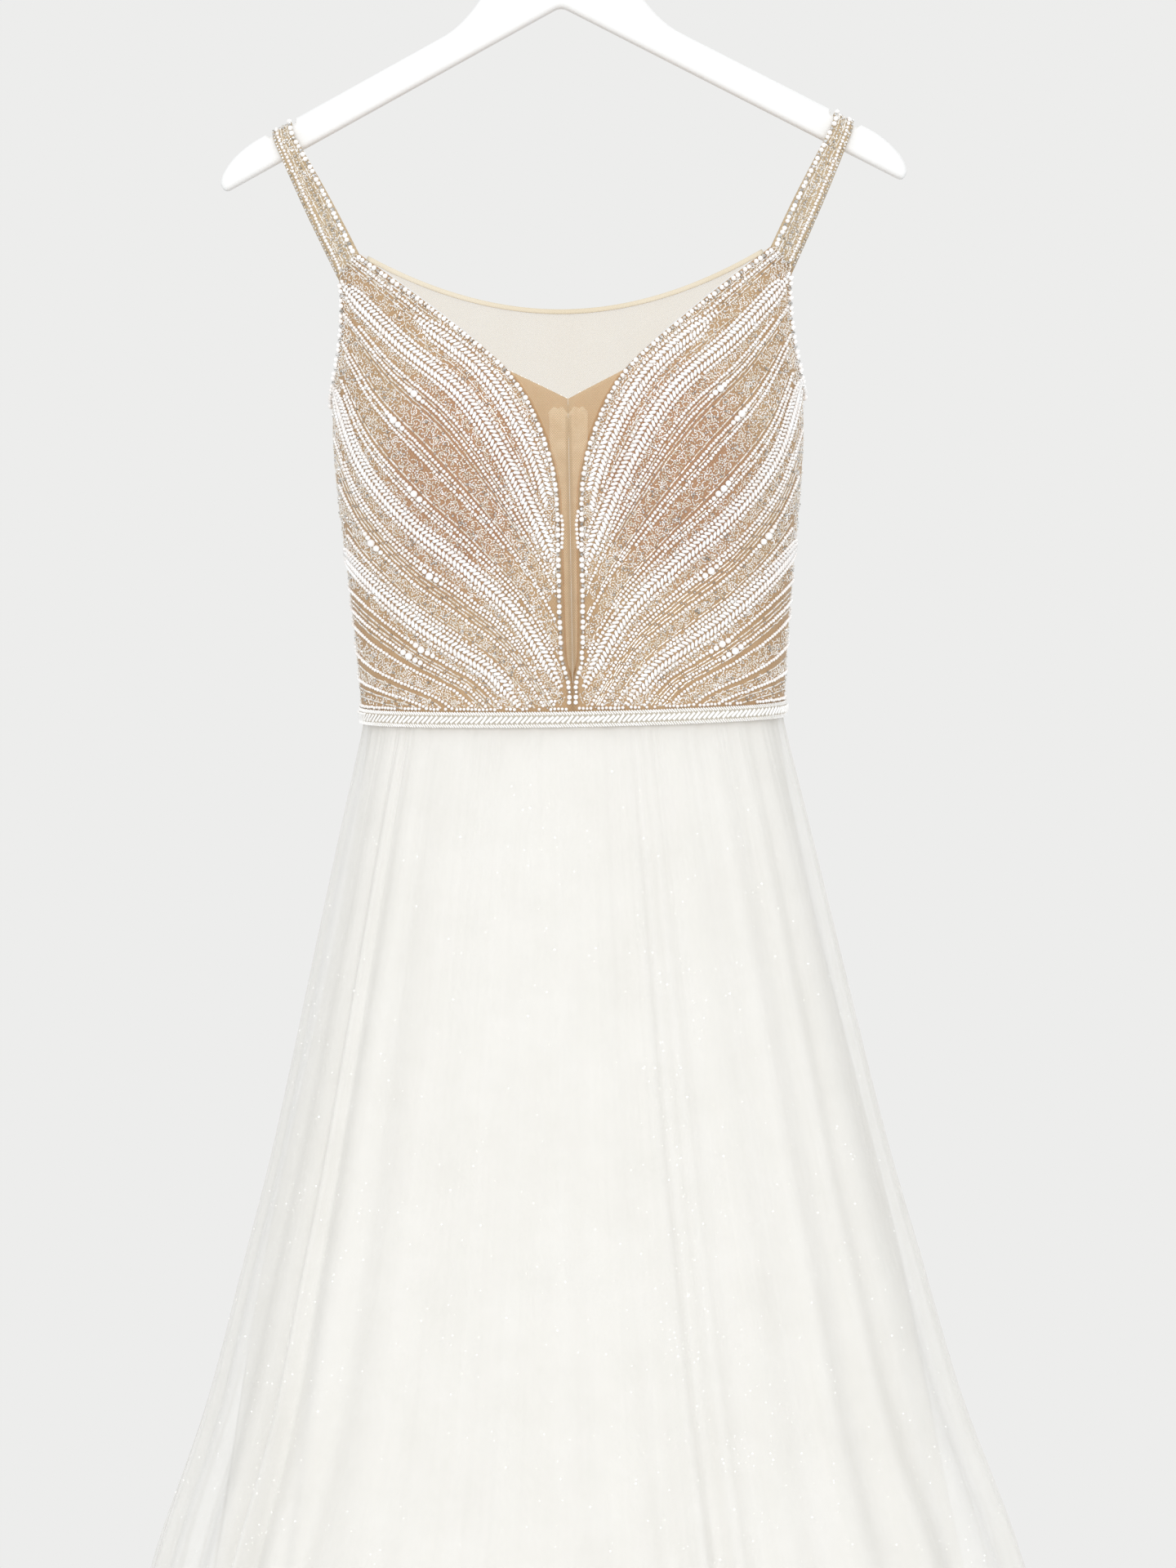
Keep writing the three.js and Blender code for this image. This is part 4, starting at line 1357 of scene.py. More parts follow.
FRONT_PLAN = BeadPlan(
    guides=(
        ((134, -274), (90, -309), (46, -347), (18, -389), (8, -428), (6.5, -478)),
        ((147, -290), (108, -333), (68, -370), (40, -414), (20, -455), (7.5, -486)),
        ((153, -354), (135, -408), (106, -447), (67, -481), (33, -515), (6, -562)),
        ((151, -462), (131, -486), (101, -514), (73, -534), (52, -549), (30, -577)),
        ((147, -520), (131, -538), (112, -550), (95, -558), (82, -565), (68, -577)),
        ((145, -558), (134, -563), (122, -567), (112, -570), (104, -573), (98, -577)),
        ((144, -588), (135, -589), (126, -590), (118, -591), (112, -592), (108, -593)),
    ),
    lines={
        Stitch.BAND: ((1, 0, 1), (2, 0, 1), (3, 0, 1), (0.53, 0.2, 0.98)),
        Stitch.BIG_PEARLS: (
            (1.28, 0.04, 1), (1.52, 0.03, 1), (1.78, 0.08, 1), (2.32, 0.03, 1),
            (2.54, 0.06, 1), (3.3, 0.03, 1), (3.52, 0, 1),
        ),
        Stitch.PEARLS: (
            (0.38, 0, 0.24), (1.22, 0.1, 1), (1.57, 0.08, 0.7), (1.83, 0.1, 1), (2.26, 0.12, 1),
            (2.8, 0.1, 1), (3.72, 0, 1), (4.1, 0, 1), (4.6, 0, 1), (5.25, 0, 1),
        ),
        Stitch.DASHES: (
            (0.25, 0, 0.5), (0.48, 0, 0.22), (0.58, 0, 0.2), (0.8, 0.2, 0.7), (1.25, 0.15, 1),
            (1.315, 0.05, 1), (1.345, 0.1, 0.8), (1.485, 0.1, 1), (1.55, 0.06, 1), (1.745, 0.1, 1),
            (1.81, 0.1, 1), (2.29, 0.05, 1), (2.38, 0.05, 1), (2.43, 0.03, 1), (2.48, 0.04, 1),
            (2.75, 0.1, 1), (3.4, 0, 1), (3.46, 0, 1), (3.6, 0, 1), (4.3, 0, 1),
            (4.8, 0, 1), (5, 0, 1),
        ),
    },
    patches=(
        (0.04, 0.96, 0, 0.99, 3400),
        (1.11, 1.19, 0, 0.99, 1100),
        (2.1, 2.22, 0, 0.97, 1300),
        (3.08, 3.24, 0, 0.97, 900),
        (1.37, 1.46, 0, 0.9, 1000),
        (1.61, 1.72, 0, 0.95, 1200),
        (2.59, 2.71, 0, 0.95, 1100),
        (2.84, 2.95, 0, 0.97, 900),
        (3.82, 4.02, 0, 1, 700),
        (4.36, 4.55, 0, 1, 450),
        (1.87, 1.95, 0, 0.97, 800),
        (2, 4.9, 0.88, 1, 900),
        (4.85, 6, 0, 1, 800),
        (1.2, 5, 0, 0.08, 1500),
    ),
)
BACK_PLAN = BeadPlan(
    guides=(
        ((134, -274), (95, -309), (55, -337), (27, -351), (10, -359), (3, -364)),
        ((147, -290), (112, -330), (80, -356), (48, -378), (22, -394), (4, -404)),
        ((153, -354), (128, -392), (96, -420), (60, -443), (28, -460), (4, -474)),
        ((151, -462), (126, -486), (95, -506), (62, -523), (30, -537), (4, -548)),
        ((147, -520), (130, -538), (108, -550), (88, -558), (72, -564), (60, -569)),
        ((145, -558), (134, -563), (120, -566), (108, -568), (98, -570), (90, -571)),
        ((144, -588), (135, -589), (124, -590), (114, -590), (106, -590), (100, -590)),
    ),
    lines=FRONT_PLAN.lines,
    patches=FRONT_PLAN.patches[:6] + FRONT_PLAN.patches[-2:],
)


# The bodice

@dataclass
class BodicePanel:
    """One of the four panels of the bodice, with its lining and beads."""

    form: GownForm
    side_name: str
    is_back: bool
    rows: int = 56
    columns: int = 44
    cloth: float = 1.3
    edge_margin: float = 2.3
    belt_margin: float = 6.8
    edge_radius: float = 130.0
    weave_radius: float = 0.12
    front_cut: Triple = (0.24, 0.325, 0.052)
    back_cut: Triple = (0.225, 0.32, 0.046)
    pucker_reach: float = 11.0
    pucker_length: float = 17.0
    pucker_depth: float = 0.35
    pucker_sink: float = 0.2
    first_seed: int = 11
    patch_room: float = 2.6
    belt_row: Pair = (3.0, 146.0)
    below: float = -600.0
    line_steps: int = 260
    row_steps: int = 400
    edge_start: float = 0.03
    edge_end: float = 0.998
    armhole_start: float = 0.02
    armhole_reach: float = 20.0
    least_points: int = 8

    def __post_init__(self) -> None:
        """Name the panel and pick its bead plan."""
        self.side = SIDES[self.side_name]
        self.name = f"bodice_{'back' if self.is_back else 'front'}_{self.side_name}"
        self.plan = BACK_PLAN if self.is_back else FRONT_PLAN

    def build(self) -> None:
        """Make the panel, line it and sew its beads on."""
        v, t = np.meshgrid(
            np.linspace(0, 1, self.rows + 1), np.linspace(0, 1, self.columns + 1), indexing="ij"
        )
        angle, z = self.form.panel(v, t, self.is_back)
        points, normals = self.form.outer(self.side * angle, z)
        if self.is_back:
            points = points + normals * self.pucker(angle, z)[..., None]
        flat = np.stack((self.side * angle * self.weave_radius, z * MM), axis=-1)
        panel = make_grid(f"{self.name}_cloth", points, normals, flat)
        thicken(panel, self.cloth)
        adopt(panel, [NUDE_NET, NUDE_LINING], [self.name])
        beads = self.bead()

    def pucker(self, angle: Array, z: Array) -> Array:
        """Find how the cloth puckers along the zip.

        Args:
            angle: Angles round the bodice.
            z: Heights.

        Returns:
            How far it is drawn in or out.
        """
        width = np.abs(self.form.bodice(angle, z)[..., 0])
        near = np.exp(-((width / self.pucker_reach) ** 2)) * soft_step(0.0, 2.0, width)
        wave = z * 2 * np.pi / self.pucker_length
        ripple = np.sin(wave + 1.4 * np.sin(z / 9.0)) + 0.6 * np.sin(z / 3.1 + 0.7)
        return self.pucker_depth * near * ripple - self.pucker_sink * near

    def spots(self, width: Array, z: Array, room: float = 0.0) -> Arrays:
        """Find places on the cloth, kept inside its edges.

        Args:
            width: Distances from the middle.
            z: Heights.
            room: How much farther to stay from the edges.

        Returns:
            The points and the outward normals.
        """
        form = self.form
        if self.is_back:
            gap = np.where(z > form.back_notch, form.back_neck.at("gap", z), 0.2)
        else:
            gap = form.plunge.at("gap", z)
        margin = self.edge_margin + room
        angle = form.angle_at_width(np.maximum(width, gap + margin), z)
        angle = np.minimum(angle, form.armhole(z) - margin / self.edge_radius)
        turned = np.pi - angle if self.is_back else angle
        z = np.maximum(z, form.waist(turned) + self.belt_margin + room)
        return form.outer(self.side * turned, z)

    def line(self, width: Array, z: Array, room: float = 0.0) -> Thread:
        """Give a sewing line, without its stretches along the belt.

        Args:
            width: Distances from the middle.
            z: Heights.
            room: How much farther to stay from the edges.

        Returns:
            The line.
        """
        points, normals = self.spots(width, z, room)
        kept = z >= points[:, 2] - 0.5
        return Thread(points[kept], normals[kept])

    def bead(self) -> list[Object]:
        """Sew the panel's beads on.

        Returns:
            The bead pieces.
        """
        work = BeadWork(self.name, self.first_seed + 2 * self.is_back)
        for thread in self.edge_lines():
            work.sew_line(thread, Stitch.EDGE)
        along = np.linspace(0, 1, self.line_steps)
        for stitch, lines in self.plan.lines.items():
            for across, start, end in lines:
                share = start + (end - start) * along
                thread = self.line(*self.plan.place(np.full(share.shape, across), share))
                if len(thread.points) > self.least_points:
                    work.sew_line(thread, stitch)
        widths = np.linspace(*self.belt_row, self.row_steps)
        row = Thread(*self.spots(widths, np.full(self.row_steps, self.below)))
        work.sew_line(row, Stitch.PEARLS)
        for low, high, start, end, tries in self.plan.patches:
            across = work.chance.uniform(low, high, tries)
            share = work.chance.uniform(start, end, tries)
            thread = self.line(*self.plan.place(across, share), room=self.patch_room)
            work.scatter(thread.points, thread.normals)
        return work.pieces()

    def edge_lines(self) -> list[Thread]:
        """Give the sewing lines along the neck edge and the armhole.

        Returns:
            The two lines.
        """
        form = self.form
        v = np.linspace(self.edge_start, self.edge_end, 500)
        angle, z = form.back_edge(v) if self.is_back else form.plunge_edge(v)
        neck = self.line(form.bodice(angle, z)[:, 0], z)
        v = np.linspace(form.turn - self.armhole_start, self.edge_end, 300)
        angle, z = form.side_edge(v)
        arm = self.line(form.bodice(angle, z)[:, 0] + self.armhole_reach, z)
        return [neck, arm]


@dataclass
class Cup:
    """The moulded foam cup inside a front panel."""

    form: GownForm
    side_name: str
    half_width: float = 46.0
    half_height: float = 56.0
    gap: float = 1.5
    wall: float = 2.0
    steps: int = 36
    seam_place: float = 0.93
    seam_width: float = 0.025
    seam_depth: float = 0.5

    def build(self) -> None:
        """Make the cup and its stitched rim."""
        side = SIDES[self.side_name]
        v, u = np.meshgrid(*[np.linspace(-1, 1, self.steps + 1)] * 2, indexing="ij")
        middle_x, middle_z = self.form.cup_place
        x = middle_x + self.half_width * u * np.sqrt(1 - v * v / 2)
        z = middle_z + self.half_height * v * np.sqrt(1 - u * u / 2)
        reach = np.hypot((x - middle_x) / self.half_width, (z - middle_z) / self.half_height)
        sewn = self.seam_depth * np.exp(-(((reach - self.seam_place) / self.seam_width) ** 2))
        points, normals = self.form.lifted(side * self.form.angle_at_width(x, z), z, -self.gap - sewn)
        flat = np.stack((x, z), axis=-1) * MM
        cup = make_grid(f"cup_{self.side_name}_foam", points, normals, flat)
        thicken(cup, self.wall)
        adopt(cup, [CUP_COVER, CUP_COVER], [f"cup_{self.side_name}"])


@dataclass
class PlungeMesh:
    """The sheer net in the plunge and the narrow binding along its top."""

    form: GownForm
    rows: int = 48
    columns: int = 48
    wall: float = 1.0
    binding_half: Pair = (1.6, 0.8)
    binding_place: float = 0.9935
    binding_lift: float = 1.7
    binding_wave: Pair = (0.06, 75.0)
    binding_reach: float = 0.985
    binding_steps: int = 90
    binding_sides: int = 12

    def build(self) -> None:
        """Make the net and its binding."""
        v, u = np.meshgrid(
            np.linspace(self.form.mesh_foot, 1, self.rows + 1),
            np.linspace(-1, 1, self.columns + 1),
            indexing="ij",
        )
        angle, z = self.form.plunge_place(u, v)
        points, normals = self.form.lifted(angle, z, self.wall / 2)
        net = make_grid("plunge_net", points, normals, points[..., [0, 2]] * MM)
        adopt(net, [SHEER_NET], ["plunge_mesh"])
        binding = self.bind()

    def bind(self) -> Object:
        """Make the folded binding round the net's top edge.

        Returns:
            The binding.
        """
        u = np.linspace(-self.binding_reach, self.binding_reach, self.binding_steps + 1)
        angle, z = self.form.plunge_place(u, np.full(u.shape, self.binding_place))
        centres, normals = self.form.lifted(angle, z, self.binding_lift)
        along = unit(np.gradient(centres, axis=0))
        up = np.cross(normals, along)
        turn = np.linspace(0, 2 * np.pi, self.binding_sides, endpoint=False)
        wave = 1 + self.binding_wave[0] * np.sin(u * self.binding_wave[1])[:, None]
        ring = (
            centres[:, None]
            + up[:, None] * (self.binding_half[0] * np.cos(turn))[None, :, None]
            + normals[:, None] * (self.binding_half[1] * np.sin(turn) * wave)[..., None]
        )
        return adopt(closed_tube("neck_binding_fold", ring), [BINDING_CLOTH], ["neck_binding"])


def closed_tube(name: str, rings: Array) -> Object:
    """Make a tube with closed ends.

    Args:
        name: Its name.
        rings: Its points by ring and side, in millimetres.

    Returns:
        The object.
    """
    count, sides = rings.shape[:2]
    number = np.arange(count * sides).reshape(count, sides)
    after = np.roll(number, -1, axis=1)
    quads = np.stack((number[:-1], number[1:], after[1:], after[:-1]), axis=-1).reshape(-1)
    loops = np.concatenate((quads, number[0], number[-1][::-1]))
    sizes = np.concatenate((np.full(len(quads) // 4, 4), (sides, sides)))
    mesh = make_mesh(name, rings.reshape(-1, 3), loops, sizes, np.ones(len(sizes)))
    steps = np.linalg.norm(np.diff(rings.mean(axis=1), axis=0), axis=1)
    far = np.concatenate(((0.0,), np.cumsum(steps)))
    flat = np.stack(np.broadcast_arrays(far[:, None], np.arange(sides)[None, :] * 1.0), axis=-1) * MM
    mesh.uv_layers.new(name="flat_cloth").data.foreach_set("uv", flat.reshape(-1, 2)[loops].ravel())
    piece = link(name, mesh)
    pick(piece)
    bpy.ops.object.mode_set(mode="EDIT")
    bpy.ops.mesh.select_all(action="SELECT")
    bpy.ops.mesh.normals_make_consistent(inside=False)
    bpy.ops.object.mode_set(mode="OBJECT")
    return piece


@dataclass
class Zip:
    """The concealed zip inside the centre back seam: tapes, coils, slider and pull."""

    form: GownForm
    near: float = 0.15
    far: float = 13.0
    top: float = -367.0
    bottom: float = -566.0
    wall: float = 0.6
    clearance: float = 0.25
    ripple: float = 0.25
    crumple: float = 1.1
    pitch: float = 1.3
    coil_place: Pair = (1.1, -1.6)
    coil_size: Triple = (2.0, 1.0, 0.7)
    coil_ends: Pair = (3.0, 6.0)
    slider_lift: float = 1.6
    slider_size: Triple = (0.0044, 0.0022, 0.006)
    slider_round: float = 0.0007
    pull_size: Triple = (0.0046, 0.0016, 0.015)
    pull_lift: float = 2.2
    pull_drop: float = 11.5
    pull_cut: float = 5.5

    def build(self) -> None:
        """Make both tapes with their coils, then the slider."""
        for side_name, side in SIDES.items():
            coil = self.coil(side_name, side)
            tape = self.tape(side_name, side)
        self.slider()

    def spot(self, width: Array, z: Array, side: int, lift: float) -> Arrays:
        """Find places by their distance from the seam and above the bodice's inner face, and the normals."""
        return self.form.lifted(side * (np.pi - self.form.angle_at_width(width, z)), z, lift)

    def tape(self, side_name: str, side: int) -> Object:
        """Make one tape with its rippled free edge.

        Args:
            side_name: The side of the seam.
            side: The same as a sign.

        Returns:
            The tape.
        """
        across = np.linspace(self.near, self.far, 13)
        share, width = np.meshgrid(np.linspace(0, 1, 90), across, indexing="ij")
        end = self.top - 2.6 * np.abs((width - 7.0) / 6.0) ** 3 - 0.7 * np.sin(1.1 * width)
        z = self.bottom + (end - self.bottom) * share
        points, normals = self.spot(width, z, side, -self.form.seam_gap)
        ripple = self.ripple * np.sin(z / 6.5) * soft_step(self.near + 4, self.far, width)
        crumple = (1 + np.sin(1.15 * width + 1.6 * np.sin(z / 6.0))) * np.exp((z - self.top) / 16)
        crumple = self.crumple * crumple * soft_step(2.8, 5.0, width)
        points = points - normals * (self.clearance + ripple + crumple)[..., None]
        tape = make_grid(f"zip_tape_{side_name}_cloth", points, normals, np.stack((width, z), axis=-1) * MM)
        thicken(tape, self.wall)
        return adopt(tape, [TAPE_CLOTH, TAPE_CLOTH], [f"zip_tape_{side_name}"])

    def coil(self, side_name: str, side: int) -> Object:
        """Make the row of teeth along one tape.

        Args:
            side_name: The side of the seam.
            side: The same as a sign.

        Returns:
            The teeth.
        """
        tray = BeadTray()
        low, high = self.bottom + self.coil_ends[0], self.top - self.coil_ends[1]
        z = np.arange(low, high, self.pitch) + (0.5 * self.pitch if side > 0 else 0)
        points, normals = self.spot(np.full(z.shape, self.coil_place[0]), z, side, self.coil_place[1])
        for point, normal in zip(points, normals):
            across = unit(np.cross((0.0, 0.0, 1.0), normal))
            tray.lay(BeadShape.TUBE, point, across, normal, np.array(self.coil_size))
        return adopt(tray.piece(f"zip_coil_{side_name}"), [ZIP_METAL])

    def slider(self) -> None:
        """Make the slider and its drop pull at the top of the seam."""
        height, lift = np.array((self.top - 1.0,)), self.form.wall + self.slider_lift
        spot, normal = self.spot(np.zeros(1), height, 1, lift)
        centre, outward = spot[0], normal[0]
        pick_none()
        bpy.ops.mesh.primitive_cube_add(
            size=1.0, location=(centre * MM).tolist(), scale=self.slider_size
        )
        slider = bpy.context.object
        bpy.ops.object.transform_apply(location=True, rotation=True, scale=True)
        finish_with(slider, "BEVEL", width=self.slider_round, segments=3)
        pick_none()
        low = centre + outward * self.pull_lift - np.array((0.0, 0.0, self.pull_drop))
        bpy.ops.mesh.primitive_uv_sphere_add(
            segments=16, ring_count=10, radius=0.5,
            location=(low * MM).tolist(), scale=self.pull_size,
        )
        bpy.ops.object.transform_apply(location=True, rotation=True, scale=True)
        bpy.ops.object.mode_set(mode="EDIT")
        bpy.ops.mesh.select_all(action="SELECT")
        bpy.ops.mesh.bisect(
            plane_co=((low + (0.0, 0.0, self.pull_cut)) * MM).tolist(), plane_no=(0, 0, 1),
            clear_outer=True, use_fill=True,
        )
        bpy.ops.object.mode_set(mode="OBJECT")
        bpy.ops.object.shade_smooth_by_angle(angle=math.radians(40))
        slider.select_set(True)
        bpy.context.view_layer.objects.active = slider
        bpy.ops.object.join()
        slider.name = "zip_slider"
        adopt(slider, [ZIP_METAL])


def pick_none() -> None:
    """Leave nothing selected, so that an operator acts on what it adds alone."""
    bpy.ops.object.select_all(action="DESELECT")


@dataclass
class Strap:
    """A beaded strap from the front panel over the hanger to the back panel."""

    form: GownForm
    side_name: str
    half_width: float = 7.0
    wall: float = 1.2
    slope: float = math.radians(28)
    rows: int = 160
    columns: int = 10
    cut: Triple = (0.019, 0.27, 0.0042)
    weave_half: float = 0.008
    lift_steps: Pair = (0.05, 2e-3)
    seam_share: float = 0.998
    seam_trim: float = 0.75
    widening: Pair = (0.18, 0.5)
    seed: int = 31
    bead_rows: tuple[tuple[float, Stitch], ...] = (
        (-0.84, Stitch.EDGE),
        (0.86, Stitch.STONES),
        (0.5, Stitch.PEARLS),
        (-0.48, Stitch.DASHES),
        (0.16, Stitch.DASHES),
        (-0.16, Stitch.STONES),
    )
    scatter_low: Pair = (-0.58, 0.015)
    scatter_high: Pair = (0.58, 0.985)
    scatter_tries: int = 1500
    path: tuple[Triple, ...] = (
        (153.5, -28.5, -256),
        (167, -16.5, -228),
        (179, -9.8, -203),
        (184.5, -7.8, -191),
        (185.6, -5.8, -186),
        (185.6, 0, -184.4),
    )

    def __post_init__(self) -> None:
        """Lay the middle line from seam to seam."""
        self.side = SIDES[self.side_name]
        self.front, self.front_across = self.seam(False)
        self.back, self.back_across = self.seam(True)
        rising = np.array(self.path) * (self.side, 1, 1)
        falling = rising[::-1][1:] * (1, -1, 1)
        self.line = PathCurve(np.vstack((self.front, rising, falling, self.back)))
        length = np.linalg.norm(np.diff(self.line.at(np.linspace(0, 1, 400)), axis=0), axis=1).sum()
        self.trim = self.seam_trim / length

    def seam(self, is_back: bool) -> Arrays:
        """Find the seam between the strap and a panel.

        Args:
            is_back: Whether it is the back panel.

        Returns:
            Its middle, and the way across it from the neck to the armhole.
        """
        angle, z = self.form.panel(np.full(3, self.seam_share), np.array((0.0, 0.5, 1.0)), is_back)
        points, normals = self.form.lifted(self.side * angle, z, 0.0)
        return points[1] + normals[1] * self.form.wall / 2, points[2] - points[0]

    def surface(self, t: Array, v: Array) -> Array:
        """Find points of the strap's middle face.

        Args:
            t: Share across, from -1 to 1.
            v: Share of its length.

        Returns:
            The points.
        """
        share = np.clip(v, 0, 1)
        centre = self.line.at(self.trim + (1 - 2 * self.trim) * share)
        blend = soft_step(*self.widening, np.abs(share - 0.5))[..., None]
        end = np.where(share[..., None] < 0.5, self.front_across, self.back_across)
        half = self.half_width + (np.linalg.norm(end, axis=-1, keepdims=True) / 2 - self.half_width) * blend
        arm = np.array((self.side * math.cos(self.slope), 0, -math.sin(self.slope)))
        return centre + unit(arm * (1 - blend) + unit(end) * blend) * half * t[..., None]

    def lifted(self, t: Array, v: Array, lift: float) -> Arrays:
        """Find points above the strap's middle face, and the outward normals."""
        across, along = self.lift_steps
        return lift_from(self.surface, t, v, (self.side * across, along), lift)

    def build(self) -> None:
        """Make the strap and sew its beads on."""
        v, t = np.meshgrid(
            np.linspace(0, 1, self.rows + 1), np.linspace(-1, 1, self.columns + 1), indexing="ij"
        )
        points, normals = self.lifted(t, v, self.wall / 2)
        width, length, area = self.cut
        flat = np.stack((t * self.weave_half, v * length), axis=-1)
        strap = make_grid(f"strap_{self.side_name}_cloth", points, normals, flat)
        thicken(strap, self.wall)
        adopt(strap, [STRAP_NET, STRAP_NET], [f"strap_{self.side_name}"])
        beads = self.bead()

    def bead(self) -> list[Object]:
        """Sew rows of beads along the strap.

        Returns:
            The bead pieces.
        """
        work = BeadWork(f"strap_{self.side_name}", self.seed)
        v = np.linspace(0.004, 0.996, 500)
        for place, stitch in self.bead_rows:
            work.sew_line(Thread(*self.lifted(np.full(v.shape, place), v, self.wall / 2)), stitch)
        places = work.chance.uniform(self.scatter_low, self.scatter_high, (self.scatter_tries, 2))
        work.scatter(*self.lifted(places[:, 0], places[:, 1], self.wall / 2))
        return work.pieces()


@dataclass
class WaistBelt:
    """The narrow beaded band over the waist seam, drawn in to the bodice at its upper edge."""

    form: GownForm
    height: float = 9.6
    hug: Triple = (3.9, 3.9, 3.0)
    wall: float = 1.0
    steps: int = 260
    opening: float = 0.003
    weave_radius: float = 0.105
    seed: int = 5
    bead_end: float = 1.5
    bead_jitter: float = 0.07
    bead_spans: Pair = (0.88, 1.0)
    bead_flatness: float = 0.75
    bead_lift: float = 0.3
    bead_rows: tuple[tuple[float, ...], ...] = (
        (4.0, -0.8, 3.1, 1.0, 1.75),
        (0.0, 0.76, 6.3, 1.75, 3.3),
        (-4.0, -0.8, 3.1, 1.0, 1.75),
    )

    def cover(self, rise: Array | float) -> Array | float:
        """Give the distance from the bodice's inner face to the band's outer face at a height in the band."""
        low, middle, high = self.hug
        share = 2 * rise / self.height
        return middle + 0.5 * (high - low) * share + (0.5 * (high + low) - middle) * share**2

    def build(self) -> None:
        """Make the band and sew its bugles on."""
        rise, angle = np.meshgrid(
            np.linspace(-0.5, 0.5, 7) * self.height,
            np.linspace(-np.pi + self.opening, np.pi - self.opening, self.steps + 1),
            indexing="ij",
        )
        points, normals = self.form.lifted(angle, self.form.waist(angle) + rise, self.cover(rise))
        flat = np.stack((angle * self.weave_radius, rise * MM), axis=-1)
        band = make_grid("waist_belt_band", points, normals, flat)
        thicken(band, self.wall)
        adopt(band, [BELT_CLOTH, BELT_CLOTH], ["waist_belt"])
        beads = self.bead()

    def bead(self) -> Object:
        """Sew three rows of slanted bugles round the band.

        Returns:
            The beads.
        """
        angle = np.linspace(-np.pi + 0.02, np.pi - 0.02, 1600)
        chance = np.random.default_rng(self.seed)
        tray = BeadTray()
        for rise, lean, length, width, pitch in self.bead_rows:
            thread = Thread(*self.form.lifted(angle, self.form.waist(angle) + rise, self.cover(rise)))
            places = np.arange(self.bead_end, thread.reach[-1] - self.bead_end, pitch)
            tilts = lean + chance.normal(0, self.bead_jitter, len(places))
            spans = length * chance.uniform(*self.bead_spans, len(places))
            for point, tangent, normal, tilt, span in zip(*thread.frames(places), tilts, spans):
                slant = math.cos(tilt) * tangent + math.sin(tilt) * np.cross(normal, tangent)
                size = np.array((span, width, self.bead_flatness * width))
                tray.lay(BeadShape.TUBE, point + normal * self.bead_lift * width, slant, normal, size)
        return adopt(tray.piece("waist_belt_beads"), [BELT_GLASS])


# The skirt

